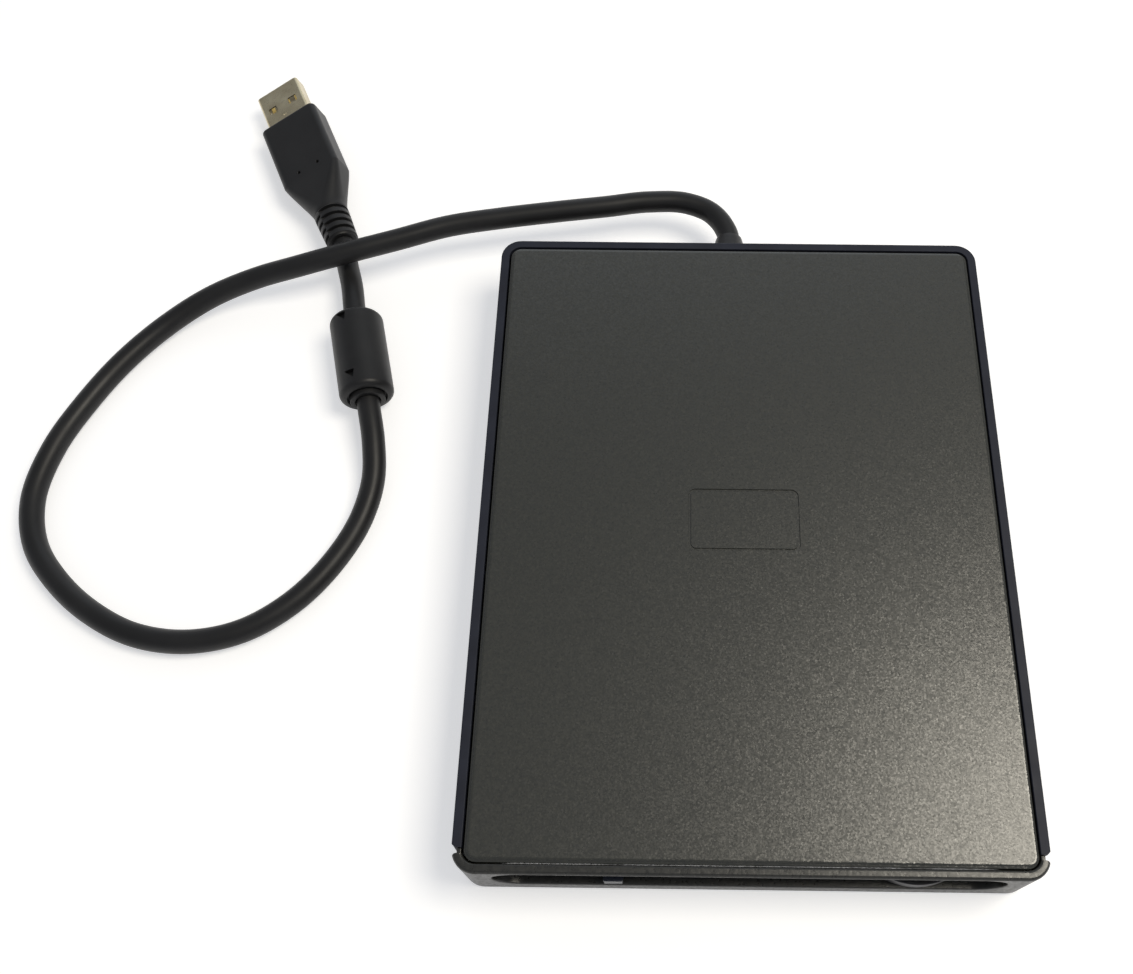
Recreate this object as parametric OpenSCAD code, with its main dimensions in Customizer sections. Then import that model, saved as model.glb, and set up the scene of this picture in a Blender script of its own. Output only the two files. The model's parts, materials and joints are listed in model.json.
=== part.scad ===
/* [Case] */
// Width of the case
body_w = 110; // [108:1:140]
// Depth of the case
body_d = 142.5; // [142:0.5:180]
// Height from the table to the top plate
body_h = 18; // [18:0.2:24]
// Height of the feet below the case floor
foot_h = 0.8; // [0.6:0.1:1.4]
// Thickness of the case's side and back walls
case_wall = 1.9; // [1.5:0.1:2.3]
// Thickness of the case's floor
case_floor = 1.6; // [1.2:0.1:2]
// Outer corner radius of the case, seen from above
case_corner = 4.5; // [3:0.5:6]
// Thickness of the top plate
plate_t = 1.8; // [1.4:0.1:2.2]
// Step between the top plate and the rim round it
rim_drop = 0.3; // [0.2:0.1:0.6]
// Gap between the top plate and the rim
plate_gap = 0.4; // [0.2:0.1:0.6]
// Width of the low ledge round the top plate
plate_ledge = 0.5; // [0.3:0.1:1]

/* [Front] */
// Thickness of the bezel's front wall
bezel_wall = 1.85; // [1.5:0.05:2.2]
// Depth of the bezel, back to its seam with the case
bezel_d = 3.65; // [3:0.05:5]
// Width of the notch between bezel and rim
notch = 1; // [0.6:0.1:1.4]
// Width of the window in the bezel
window_w = 96; // [92:1:100]
// Height of the window in the bezel
window_h = 11; // [10:0.2:12]
// Width of the eject button
button_w = 14; // [10:0.5:18]
// Height of the eject button
button_h = 3.4; // [2.6:0.1:3.6]
// Radius of the eject button's curved front
button_r = 13.4; // [10:0.2:20]
// Width of the light pipe
pipe_w = 3.8; // [2.5:0.1:6]

/* [Disk drive] */
// Width of the drive inside the case
drive_w = 96; // [96:0.5:102]
// Width of the slot and of the space for the disk
slot_w = 91.4; // [91:0.1:92]
// Height of the slot and of the space for the disk
slot_h = 4.3; // [4.2:0.05:4.4]
// Thickness of the chassis sheet
sheet_t = 0.8; // [0.6:0.1:1]
// How far the eject button travels
eject_travel = 5; // [4:0.5:6]
// How far the disk holder drops
holder_drop = 2.2; // [1.8:0.1:2.4]
// How far the heads travel
head_travel = 15; // [13:0.5:15]
// Distance of the heads from the spindle, on the outermost track
outer_track_r = 39.5; // [38:0.5:40]
// Radius of the spindle rotor
rotor_r = 16; // [14:0.5:17]

/* [Cord] */
// Diameter of the cord
cord_dia = 5.2; // [5:0.1:6]
// Diameter of the ferrite sleeve
ferrite_dia = 12.4; // [11:0.2:14]
// Length of the ferrite sleeve
ferrite_l = 22; // [20:0.5:27]
// Width of the plug's moulded grip
grip_w = 15.8; // [15:0.1:17]
// Thickness of the plug's moulded grip
grip_t = 7.8; // [7:0.1:8.4]
// Roll of the plug, its right side raised
plug_roll = 18; // [0:1:25]

/* [Hidden] */
$fn = 64;
eps = 0.01;
clear = 0.1;               // between pieces that fit in each other
run = 0.05;                // between a shaft and its hole

// Case levels
front = -body_d/2;
back = body_d/2;
floor_top = foot_h + case_floor;
rim_top = body_h - rim_drop;
plate_z = body_h - plate_t;
seam = front + bezel_d + clear;
inner_x = body_w/2 - case_wall;
plate_w = 2*(inner_x - plate_gap);
plate_front = front + bezel_wall + 0.2;
plate_back = back - case_wall - plate_gap;
plate_d = plate_back - plate_front;
plate_mid = (plate_front + plate_back)/2;
plate_corner = 2.3;
plate_step = 0.4;          // height of the plateau above the ledge
frame_w = 23;              // bare sunk frame in the middle of the top
frame_d = 14;
frame_corner = 1.5;
frame_line = 0.5;
frame_sunk = 0.25;

// Case fasteners and feet
post_dia = 4.2;
post_joint = 6;            // height where the case's posts meet the cover's
post_x = drive_w/2 + 2.7;
post_y = 52;
screw_r = 0.8;
pilot_r = screw_r + run;
screw_hole_r = 1.1;
head_r = 1.8;
head_h = 1;
foot_r = 5;
foot_sink = 0.4;
foot_x = 43;
foot_y = 59.5;
rib_t = 1.2;
label_w = 62;              // bare sunk place in the middle of the underside
label_d = 38;
label_sunk = 0.3;
rib_ys = [-60, -38, -12, 12, 38, 60];

// The disk drive has its own frame: its origin is the middle of the
// faceplate's front, at the height of the chassis' underside
drive_y = front + bezel_wall + clear;
drive_z = floor_top + 0.4;
drive_h = 12.7;
half_w = drive_w/2;
face_t = 1.8;
face_w = drive_w + 4;
face_z = [0.4, 13.1];
slot_z = 6.7;              // bottom of the slot, and of the disk's space
window_z = 2.7;
button_z = 3.1;
button_x = 32;
button_proud = 1.75;       // how far it stands out of the faceplate
button_l = 7.55;
pipe_x = -25.45;
pipe_z = 2.85;
pipe_h = 3.5;
chassis_y = 2;
chassis_l = 123.9;
chassis_back = chassis_y + chassis_l;
wall_top = 10.6;
drive_screw_x = 38;
drive_screw_ys = [14, 112];
boss_r = 3;                // pads that carry the drive
standoffs = [[-43, 12], [43, 12], [-43, 60], [30, 62], [-43, 108], [-22, 108]];
cover_t = 0.4;           // thickness of the module cover
rib_d = 0.9;               // how far the ribs stand in from the side walls
board_z = 1.2;
board_t = 0.8;
board_top = board_z + board_t;

// Spindle
spindle_y = 53.3;
shaft_r = 2;
bearing_r = 4;
rotor_z = [1.4, 4.1];
rotor_wall = 0.8;
rotor_top = 0.5;
hub_r = 11.8;
hub_pin_y = 10.1;          // how far the drive pin is from the spindle
hub_pin_r = 0.9;
magnet_t = 1.5;
coil_turn = 40;            // angle between two coils
stator_r = rotor_r - rotor_wall - magnet_t - 0.6;

// Disk holder, slider and their cam slots
holder_t = 0.5;
holder_y = [7, 101.3];
holder_in = slot_w/2;
holder_out = holder_in + holder_t;
pin_r = 0.8;
pin_z = 9.2;
pin_ys = [21.3, 89.3];
pin_gap = 0.12;
slider_t = 0.5;
slider_in = holder_out + 0.2;
slider_out = slider_in + slider_t;
slider_z = [11.7, 12.1];
slider_y = [10.9, 97.3];
cam_angle = atan2(holder_drop, eject_travel);
cam_l = norm([holder_drop, eject_travel]);
tab_y = 106.9;             // tab that the eject spring pushes on
link_y = 7.3;              // bar between the slider and the button
arm_half_slot = 9.5;

// Heads
head_y = spindle_y + outer_track_r;
rod_x = -11.5;
rod_z = 2.6;
rod_r = 1.4;
rod_front = head_y - head_travel - 5;
rod_back = 123.8;
clamp_t = 2.4;
post_back = 118.6;         // where the arm's hinge pin runs
arm_pin_z = 10.4;
arm_pin_r = 0.8;
screw_x = 19;
screw_z = 5.9;
lead_r = 1.4;
follower_y = head_y + 24.9;
lead_front = follower_y - head_travel - 0.5;
lead_l = 16.1;
journal_r = 0.5;           // front end of the leadscrew
stub_r = 0.75;             // end that goes into the motor
motor_y = 118.5;
motor_r = 5;
motor_l = 6.4;

// Shutter lever
lever_x = 40;
lever_y = 104.2;
lever_z = 7.5;
lever_t = 0.9;
lever_l = 27;
lever_angle = 208;

// Slot door
door_pin_y = 2.5;
door_pin_z = 11.4;
door_t = 0.6;

// Boards behind the drive
usb_board_z = floor_top + 1;
usb_board_t = 1;
usb_board_top = usb_board_z + usb_board_t;
usb_board_y = [back - 13, back - 4.4];
usb_board_w = 92;
ribbon_w = 20;
ribbon_x = -30;

// Cord exit, cord, ferrite and plug
cord_r = cord_dia/2;
exit_x = -1.6;
exit_z = 9;
boot_out = 7.3;            // how far the boot stands out behind the case
boot_neck_r = 3.4;
boot_flange_r = 4.75;
boot_end_r = 3.2;
cord_sides = 10;

// The cord's way over the table, from its boot to the plug
route = [
    [-1.6, 78.55, 9], [-2.7, 82.5, 9.1], [-6, 86.8, 9.3], [-11.8, 89.3, 9.6],
    [-20.8, 89.4, 9.9], [-31.8, 87.5, 10.2], [-43.9, 85.6, 10.4], [-57.2, 83.3, 10.6],
    [-69.6, 80.6, 10.8], [-81.6, 76.2, 11], [-93.7, 72.1, 10.9], [-104.7, 69.2, 9.6],
    [-115.2, 67.1, 7.4], [-126.2, 63, 5.1], [-135.8, 56.3, 3.3], [-144.3, 46.5, 2.7],
    [-150.8, 35.1, 2.6], [-155.8, 22.6, 2.6], [-157.3, 9.6, 2.6], [-154, -1.35, 2.6],
    [-147.4, -9.6, 2.6], [-138.7, -16.5, 2.6], [-128.1, -21.5, 2.6], [-116.7, -22.8, 2.6],
    [-105.8, -20.3, 2.6], [-96.1, -13.8, 2.6], [-88.2, -3.9, 2.6], [-83.4, 6.6, 2.8],
    [-81.8, 15.7, 3.6], [-82.4, 23.9, 5.2], [-84.19, 32.38, 6.35], [-87.43, 45.49, 6.35],
    [-90.67, 58.6, 6.35], [-92.6, 67, 5.4], [-94.4, 72.7, 4.8], [-96.1, 78.9, 5.9]
];
ferrite_mid = route[len(route) - 5];
ferrite_dir = route[len(route) - 4] - ferrite_mid;
ferrite_turn = atan2(ferrite_dir.y, ferrite_dir.x) - 90;
core_l = ferrite_l - 6;
core_r = ferrite_dia/2 - 1.2;
collar_r = 4;
ferrite_bore = cord_r + 0.2;

plug_tip = [-118.7, 127.4, 5.9];
plug_heading = 115;
shell_w = 12;
shell_t = 4.5;
shell_wall = 0.3;
shell_l = 11.8;
shell_in = 3;              // how far the shell goes into the grip
grip_straight = 20.2;
grip_end = 43;
neck_r = 4.3;
tail_end = 53.5;
tail_r = 3.7;
tail_grooves = 4;
groove_pitch = 2.3;
groove_d = 0.7;

// ---------------------------------------------------------------- helpers

// Box between two corners
module box(low, high) {
    translate(low) cube(high - low);
}

// Rounded rectangle about the origin
module rounded(w, d, r) {
    square([w - 2*r, d], center = true);
    square([w, d - 2*r], center = true);
    for (x = [-1, 1], y = [-1, 1])
        translate([x*(w/2 - r), y*(d/2 - r)]) circle(r);
}

// Cylinder along Y, from a point and with a length
module rod_y(from, r, l) {
    translate(from) rotate([-90, 0, 0]) cylinder(r = r, h = l);
}

// Cylinder along X, from a point and with a length
module rod_x(from, r, l) {
    translate(from) rotate([0, 90, 0]) cylinder(r = r, h = l);
}

// Straight wire between two points
module wire(a, b, r) {
    run_v = b - a;
    translate(a)
        rotate([0, acos(run_v.z/norm(run_v)), atan2(run_v.y, run_v.x)])
            cylinder(r = r, h = norm(run_v), $fn = 24);
}

module both_sides() {
    children();
    mirror([1, 0, 0]) children();
}

module in_drive() {
    translate([0, drive_y, drive_z]) children();
}

module in_plug() {
    translate(plug_tip) rotate([0, 0, plug_heading - 90]) rotate([0, -plug_roll, 0]) children();
}

module in_ferrite() {
    translate(ferrite_mid) rotate([0, 0, ferrite_turn]) children();
}

// ------------------------------------------------------------------- case

module case_post_places() {
    for (x = [-1, 1], y = [-1, 1]) translate([x*post_x, y*post_y, 0]) children();
}

module case_foot_places() {
    for (x = [-1, 1], y = [-1, 1]) translate([x*foot_x, y*foot_y, 0]) children();
}

module drive_screw_places() {
    for (x = [-1, 1], y = drive_screw_ys)
        translate([x*drive_screw_x, drive_y + y, 0]) children();
}

module usb_board_places() {
    for (x = [-1, 1]) translate([x*(usb_board_w/2 - 3), usb_board_y[1] - 3, 0]) children();
}

module case_outline() {
    rounded(body_w, body_d, case_corner);
}

// Floor with its side and back walls, open to the front and the top
module bottom_case() color("#16181d") {
    cavity_corner = case_corner - case_wall;
    difference() {
        union() {
            difference() {
                translate([0, 0, foot_h]) linear_extrude(rim_top - foot_h) case_outline();
                translate([0, 0, floor_top]) linear_extrude(body_h)
                    rounded(2*inner_x, body_d - 2*case_wall, cavity_corner);
                box([-body_w, front - 1, 0], [body_w, seam, body_h + 1]);
                box([-inner_x, seam - 1, floor_top], [inner_x, seam + 8, body_h + 1]);
                box([-body_w, seam - 1, 5], [body_w, front + bezel_d + notch, body_h + 1]);
            }
            case_post_places() translate([0, 0, floor_top - eps])
                cylinder(d = post_dia, h = post_joint - floor_top + eps);
            drive_screw_places() translate([0, 0, floor_top - eps])
                cylinder(r = boss_r, h = drive_z - floor_top + eps);
            usb_board_places() translate([0, 0, floor_top - eps])
                cylinder(r = 2.4, h = usb_board_z - floor_top + eps);
            // ribs that carry the top plate
            for (y = rib_ys) both_sides()
                box([inner_x - rib_d, y - rib_t/2, floor_top - eps],
                    [inner_x + eps, y + rib_t/2, plate_z]);
            for (x = [-36, -14, 14, 36])
                box([x - rib_t/2, back - case_wall - 1.2, floor_top - eps],
                    [x + rib_t/2, back - case_wall + eps, plate_z]);
        }
        case_post_places() {
            cylinder(r = screw_hole_r, h = body_h);
            translate([0, 0, foot_h - eps]) cylinder(r = head_r + clear, h = head_h + 0.2);
        }
        drive_screw_places() translate([0, 0, foot_h + 0.6]) cylinder(r = pilot_r, h = 5);
        usb_board_places() translate([0, 0, foot_h + 0.6]) cylinder(r = pilot_r, h = 5);
        case_foot_places() translate([0, 0, foot_h - eps]) cylinder(r = foot_r + clear, h = foot_sink);
        translate([0, 12, foot_h - eps]) linear_extrude(label_sunk) rounded(label_w, label_d, 2);
        rod_y([exit_x, back - case_wall - 1, exit_z], boot_neck_r + run, case_wall + 2);
    }
}

// Flat cover with a low ledge round it, a bare sunk frame and four posts
module top_cover() color("#3b3c3a") {
    plateau_z = body_h - plate_step;
    difference() {
        union() {
            translate([0, plate_mid, plate_z]) linear_extrude(plateau_z - plate_z)
                rounded(plate_w, plate_d, plate_corner);
            translate([0, plate_mid, plateau_z - eps]) linear_extrude(plate_step + eps)
                rounded(plate_w - 2*plate_ledge, plate_d - 2*plate_ledge, plate_corner - plate_ledge);
            case_post_places() translate([0, 0, post_joint])
                cylinder(d = post_dia, h = plate_z - post_joint + eps);
            for (y = [-45, 0, 45]) box([-46, y - 0.6, plate_z - 0.5], [46, y + 0.6, plate_z + eps]);
        }
        translate([0, 0, body_h - frame_sunk]) linear_extrude(1) difference() {
            rounded(frame_w, frame_d, frame_corner);
            rounded(frame_w - 2*frame_line, frame_d - 2*frame_line, frame_corner - frame_line);
        }
        case_post_places() translate([0, 0, post_joint - eps]) cylinder(r = pilot_r, h = 5);
    }
}

// Front frame with its long window and two tongues that go into the case
module front_bezel() color("#232427") {
    end_r = window_h/2;
    mid_z = drive_z + window_z + end_r;
    difference() {
        union() {
            difference() {
                intersection() {
                    translate([0, 0, foot_h]) linear_extrude(rim_top - foot_h) case_outline();
                    box([-body_w, front - 1, 0], [body_w, front + bezel_d, body_h]);
                }
                box([-inner_x, front + bezel_wall, floor_top],
                    [inner_x, front + bezel_d + 1, body_h + 1]);
            }
            both_sides() {
                box([inner_x - 1.1, front + bezel_wall - 0.2, 3.4], [inner_x - clear, seam + 4.6, 9]);
                box([inner_x - 1.1, front + bezel_wall - 0.2, 3.4], [inner_x + 0.2, front + bezel_d, 9]);
            }
        }
        box([-window_w/2 + end_r, front - 1, mid_z - end_r],
            [window_w/2 - end_r, front + bezel_wall + 0.2, mid_z + end_r]);
        for (x = [-1, 1]) rod_y([x*(window_w/2 - end_r), front - 1, mid_z], end_r, bezel_wall + 1.2);
    }
}

module rubber_feet() color("#101010") case_foot_places() {
    cylinder(r = foot_r, h = foot_h + foot_sink - eps);
}

module case_screws() color("#8d8f92") case_post_places() translate([0, 0, foot_h + 0.15])
    difference() {
        union() {
            cylinder(r = head_r, h = head_h);
            cylinder(r = screw_r, h = 8.5);
        }
        for (a = [0, 90]) rotate([0, 0, a]) translate([-1.1, -0.2, -1]) cube([2.2, 0.4, 1.5]);
    }

// ------------------------------------------------------- front of the drive

module drive_faceplate() color("#0c0c0e") in_drive() difference() {
    union() {
        box([-face_w/2, 0, face_z[0]], [face_w/2, face_t, face_z[1]]);
        both_sides() {
            // arm along the chassis' side, and ear that holds the door's pin
            box([half_w + clear, face_t - eps, 1], [half_w + 1.5, 9, 8]);
            box([slot_w/2 + 0.2, face_t - eps, door_pin_z - 1.2],
                [slot_w/2 + 1, door_pin_y + 1, door_pin_z + 1.2]);
        }
    }
    box([-slot_w/2, -1, slot_z], [slot_w/2, face_t + 1, slot_z + slot_h]);
    box([button_x - button_w/2 - clear, -1, button_z - clear],
        [button_x + button_w/2 + clear, face_t + 1, button_z + button_h + clear]);
    box([pipe_x - pipe_w/2 - 0.05, -1, pipe_z - 0.05],
        [pipe_x + pipe_w/2 + 0.05, face_t + 1, pipe_z + pipe_h + 0.05]);
    rod_x([-slot_w/2 - 5, door_pin_y, door_pin_z], 0.6 + run, slot_w + 10);
}

module light_pipe() color("#4c5058") in_drive()
    box([pipe_x - pipe_w/2, -bezel_wall + 0.05, pipe_z], [pipe_x + pipe_w/2, 4, pipe_z + pipe_h]);

module activity_led() color("#c8d8b0") in_drive() {
    box([pipe_x - 1.5, 5.4, board_top], [pipe_x + 1.5, 8, board_top + 3.4]);
    rod_y([pipe_x, 4.3, board_top + 1.8], 1.2, 1.2);
}

// Button with a curved front and a foot that meets the slider's bar
module eject_button() color("#151518") in_drive() {
    intersection() {
        box([button_x - button_w/2, -button_proud, button_z],
            [button_x + button_w/2, button_l - button_proud, button_z + button_h]);
        translate([button_x, button_r - button_proud, 0]) cylinder(r = button_r, h = 20, $fn = 96);
    }
    box([button_x - 3, button_l - button_proud - eps, button_z], [button_x + 3, link_y, button_z + 1]);
}

// Flap that hangs behind the slot and swings inwards
module slot_door() color("#0f0f11") in_drive() {
    half = slot_w/2 - 0.2;
    box([-half, door_pin_y - door_t/2, slot_z + 0.1], [half, door_pin_y + door_t/2, door_pin_z]);
    rod_x([-half, door_pin_y, door_pin_z], 0.55, 2*half);
    rod_x([-half - 1.1, door_pin_y, door_pin_z], 0.5, 2*half + 2.2);
}

// --------------------------------------------------------------- chassis

module chassis() color("#9fa3a6") in_drive() difference() {
    union() {
        difference() {
            box([-half_w, chassis_y, 0], [half_w, chassis_back, wall_top]);
            box([-half_w + sheet_t, chassis_y - 1, sheet_t],
                [half_w - sheet_t, chassis_back - sheet_t, wall_top + 1]);
        }
        for (p = standoffs)
            translate([p.x, p.y, sheet_t - eps]) cylinder(r = 1.5, h = board_z - sheet_t + eps);
        // post that the shutter lever turns on
        translate([lever_x, lever_y, sheet_t - eps]) cylinder(r = 2, h = lever_z - sheet_t - 0.05);
        translate([lever_x, lever_y, sheet_t]) cylinder(r = 1.2, h = lever_z + lever_t + 0.3 - sheet_t);
        // pin inside the eject spring
        rod_y([-44, tab_y + 2, 8.4], 0.6, chassis_back - sheet_t - tab_y - 2 + eps);
    }
    translate([0, spindle_y, -1]) cylinder(r = bearing_r, h = 3);
    for (x = [-1, 1], y = drive_screw_ys)
        translate([x*drive_screw_x, y, -1]) cylinder(r = screw_hole_r, h = 3);
    // upright slots for the holder's pins
    for (y = pin_ys) both_sides()
        box([half_w - sheet_t - 1, y - pin_r - pin_gap, pin_z - holder_drop - pin_r - 0.3],
            [half_w + 1, y + pin_r + pin_gap, wall_top + 1]);
    // way out for the ribbon
    box([ribbon_x - ribbon_w/2 - 1, chassis_back - 2, 1.8],
        [ribbon_x + ribbon_w/2 + 1, chassis_back + 1, 5.4]);
}

module module_screws() color("#b9bcc0") drive_screw_places() translate([0, 0, foot_h + 1]) difference() {
    union() {
        cylinder(r = screw_r, h = drive_z + sheet_t - foot_h - 1 + eps);
        translate([0, 0, drive_z + sheet_t - foot_h - 1]) cylinder(r = 1.7, h = 0.8);
    }
    for (a = [0, 90]) rotate([0, 0, a])
        translate([-1, -0.18, drive_z + sheet_t - foot_h - 0.6]) cube([2, 0.36, 1]);
}

module module_cover() color("#a9adb0") in_drive() difference() {
    union() {
        box([-half_w - cover_t, door_pin_y + 1.2, drive_h - cover_t],
            [half_w + cover_t, chassis_back + cover_t, drive_h]);
        both_sides() box([half_w, 10, 6], [half_w + cover_t, chassis_back + cover_t, drive_h]);
        box([-half_w - cover_t, chassis_back, 6.4],
            [half_w + cover_t, chassis_back + cover_t, drive_h]);
    }
    translate([0, spindle_y, 0]) cylinder(r = 9, h = 20);
    box([-30, 12, 11], [30, 24, 20]);
}

// ---------------------------------------------------------- boards inside

module logic_board() color("#1f5a3a") in_drive() difference() {
    union() {
        box([-46, link_y + 1, board_z], [46, 67.3, board_top]);
        box([-46, 67, board_z], [-17, chassis_back - 3, board_top]);
    }
    translate([0, spindle_y, 0]) cylinder(r = rotor_r + 2.5, h = 5);
    for (x = [-1, 1], y = drive_screw_ys)
        translate([x*drive_screw_x, y, 0]) cylinder(r = 2.4, h = 5);
}

// Middle and size of each large chip
big_chips = [
    [[-26, 32], [14, 14, 1.4]], [[27, 30], [10, 10, 1.3]],
    [[-32, 80], [12, 12, 1.4]], [[-32, 98], [10, 6, 1.3]]
];

module board_chips() color("#1b1b1d") in_drive() translate([0, 0, board_top]) {
    for (chip = big_chips)
        translate([chip[0].x - chip[1].x/2, chip[0].y - chip[1].y/2, 0]) cube(chip[1]);
    for (i = [0:5]) translate([-6 + 4*i, 14, 0]) cube([2, 1.2, 0.8]);
    for (i = [0:4]) translate([-44, 72 + 5*i, 0]) cube([1.2, 2, 0.8]);
    for (x = [-12, 13]) translate([x, 24, 0]) cylinder(r = 2, h = 1.8);
}

// Places of the switches that feel the disk and its two corner holes
switch_places = [[-40, 12.3], [40, 12.3], [-34, 12.3]];

module switch_bodies() color("#26262a") in_drive()
    for (p = switch_places) difference() {
        box([p.x - 2.4, p.y - 2, board_top], [p.x + 2.4, p.y + 2, board_top + 2.4]);
        translate([p.x, p.y, board_top + 0.6]) cylinder(r = 0.8 + run, h = 3);
    }

module plunger(i) color("#e8e6df") in_drive()
    translate([switch_places[i].x, switch_places[i].y, board_top + 1.8]) cylinder(r = 0.8, h = 2);

module logic_socket() color("#d9d4c4") in_drive()
    box([ribbon_x - ribbon_w/2 - 1, chassis_back - 7.5, board_top],
        [ribbon_x + ribbon_w/2 + 1, chassis_back - 4, board_top + 2.4]);

module usb_board() color("#1f5a3a") difference() {
    box([-usb_board_w/2, usb_board_y[0], usb_board_z], [usb_board_w/2, usb_board_y[1], usb_board_top]);
    usb_board_places() cylinder(r = screw_hole_r, h = 20);
}

module usb_chips() color("#1b1b1d") translate([0, usb_board_y[0], usb_board_top]) {
    translate([9, 1, 0]) cube([7, 7, 1.4]);
    translate([18.5, 1.2, 0]) cube([6, 3, 1]);
    translate([2, 5.4, 0]) cube([4, 2, 1.2]);
}

module usb_socket() color("#d9d4c4")
    box([ribbon_x - ribbon_w/2 - 1, usb_board_y[0] + 0.8, usb_board_top],
        [ribbon_x + ribbon_w/2 + 1, usb_board_y[0] + 4, usb_board_top + 2.6]);

module cord_header() color("#e6e2d6") box([-15, usb_board_y[0] + 1.6, usb_board_top],
    [-7.5, usb_board_y[0] + 5.4, usb_board_top + 4]);

module board_screws() color("#b9bcc0") usb_board_places() translate([0, 0, foot_h + 1]) {
    cylinder(r = screw_r, h = usb_board_top - foot_h - 1 + eps);
    translate([0, 0, usb_board_top - foot_h - 1]) cylinder(r = 1.7, h = 0.9);
}

// Flat ribbon between the two sockets
module ribbon_cable() color("#c7c9cc") {
    ribbon_low = usb_board_top + 1;
    box([ribbon_x - ribbon_w/2, drive_y + chassis_back - 4, ribbon_low],
        [ribbon_x + ribbon_w/2, usb_board_y[0] + 0.8, ribbon_low + 0.3]);
}

// ---------------------------------------------------------------- spindle

module spindle_bearing() color("#b08d4a") in_drive() translate([0, spindle_y, 0]) difference() {
    cylinder(r = bearing_r, h = rotor_z[1] - rotor_top - 0.3);
    translate([0, 0, -1]) cylinder(r = shaft_r + run, h = 10);
}

module spindle_stator() color("#7c7f83")
    in_drive() translate([0, spindle_y, sheet_t + 0.6]) difference() {
    union() {
        cylinder(r = bearing_r + 2, h = 1.6);
        for (a = [0:coil_turn:359]) rotate([0, 0, a]) translate([bearing_r + 1, -0.8, 0])
            cube([stator_r - bearing_r - 1, 1.6, 1.6]);
    }
    translate([0, 0, -1]) cylinder(r = bearing_r + eps, h = 5);
}

module spindle_coils() color("#b5682f") in_drive() translate([0, spindle_y, sheet_t + 0.2])
    for (a = [0:coil_turn:359]) rotate([0, 0, a]) difference() {
        translate([7, -1.7, 0]) cube([stator_r - 8, 3.4, 2.4]);
        translate([6, -0.8 - eps, 0.4 - eps]) cube([stator_r, 1.6 + 2*eps, 1.6 + 2*eps]);
    }

module spindle_rotor() color("#a7aaae") in_drive() translate([0, spindle_y, 0]) difference() {
    union() {
        difference() {
            translate([0, 0, rotor_z[0]]) cylinder(r = rotor_r, h = rotor_z[1] - rotor_z[0]);
            translate([0, 0, rotor_z[0] - 1])
                cylinder(r = rotor_r - rotor_wall, h = rotor_z[1] - rotor_z[0] + 1 - rotor_top);
        }
        translate([0, 0, rotor_z[1] - 0.2]) cylinder(r = hub_r, h = 0.5);
        translate([0, 0, 0.3]) cylinder(r = shaft_r, h = 5.3);
    }
    translate([0, hub_pin_y, rotor_z[1] - 0.3]) cylinder(r = hub_pin_r, h = 2);
}

module rotor_magnet() color("#4a4744") in_drive() translate([0, spindle_y, rotor_z[0]]) difference() {
    cylinder(r = rotor_r - rotor_wall, h = rotor_z[1] - rotor_top - rotor_z[0]);
    translate([0, 0, -1]) cylinder(r = rotor_r - rotor_wall - magnet_t, h = 5);
}

module drive_pin() color("#d2d4d6") in_drive()
    translate([0, spindle_y + hub_pin_y, rotor_z[1] - 0.3]) cylinder(r = hub_pin_r, h = 1.6);

// ------------------------------------------------- disk holder and slider

module disk_holder() color("#b3b6b9") in_drive() {
    top = slot_z + slot_h;
    difference() {
        box([-holder_out, holder_y[0], top], [holder_out, holder_y[1], top + holder_t]);
        box([-arm_half_slot, spindle_y + 19, top - 1], [arm_half_slot, holder_y[1] + 1, top + 2]);
        translate([0, spindle_y, top - 1]) cylinder(r = 12, h = 3);
    }
    both_sides() {
        box([holder_in, holder_y[0], slot_z - holder_t], [holder_out, holder_y[1], top + eps]);
        box([43, holder_y[0], slot_z - holder_t], [holder_in + eps, holder_y[1], slot_z]);
        for (y = pin_ys) rod_x([holder_out - eps, y, pin_z], pin_r, half_w - holder_out - 0.1);
    }
}

// Plate over the holder, with arms whose sloping slots carry the holder's pins
module slider_plate() color("#8f9397") in_drive() {
    difference() {
        box([-slider_out, slider_y[0], slider_z[0]], [slider_out, slider_y[1], slider_z[1]]);
        box([-arm_half_slot - 1, spindle_y + 12, slider_z[0] - 1],
            [arm_half_slot + 1, chassis_back, slider_z[1] + 1]);
        box([-30, 22, slider_z[0] - 1], [30, 40, slider_z[1] + 1]);
        both_sides() box([16, 62, slider_z[0] - 1], [36, 84, slider_z[1] + 1]);
    }
    both_sides() difference() {
        box([slider_in, slider_y[0], 3.7], [slider_out, slider_y[1], slider_z[1]]);
        for (y = pin_ys) translate([slider_in - 1, y, pin_z]) rotate([-cam_angle, 0, 0]) {
            rod_x([0, 0, 0], pin_r + pin_gap, 3);
            rod_x([0, cam_l, 0], pin_r + pin_gap, 3);
            box([0, 0, -pin_r - pin_gap], [3, cam_l, pin_r + pin_gap]);
        }
    }
    // tabs that ride on the chassis' walls
    both_sides() for (y = [38, 66])
        box([slider_out - eps, y, wall_top + run], [half_w - 0.1, y + 6, wall_top + run + 0.4]);
    // bar that carries the button
    box([button_x - 5, link_y, 2.4], [slider_out, link_y + 0.6, 4.2]);
    box([slider_in, link_y, 2.4], [slider_out, slider_y[0] + 4, 4.2]);
    // arm with the tab that the spring pushes on
    box([-slider_out, slider_y[1] - eps, 7], [-slider_in, tab_y + 0.6, 9.8]);
    box([-slider_out, tab_y, 7], [-42, tab_y + 0.6, 9.8]);
}

module eject_spring() color("#c3c6c9") in_drive() difference() {
    rod_y([-44, tab_y + 0.6, 8.4], 1.6, chassis_back - sheet_t - tab_y - 0.6);
    rod_y([-44, tab_y, 8.4], 1.1, 30);
}

// --------------------------------------------------------------- heads

module guide_rod() color("#d2d4d6") in_drive()
    rod_y([rod_x, rod_front, rod_z], rod_r, rod_back - rod_front);

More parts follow.
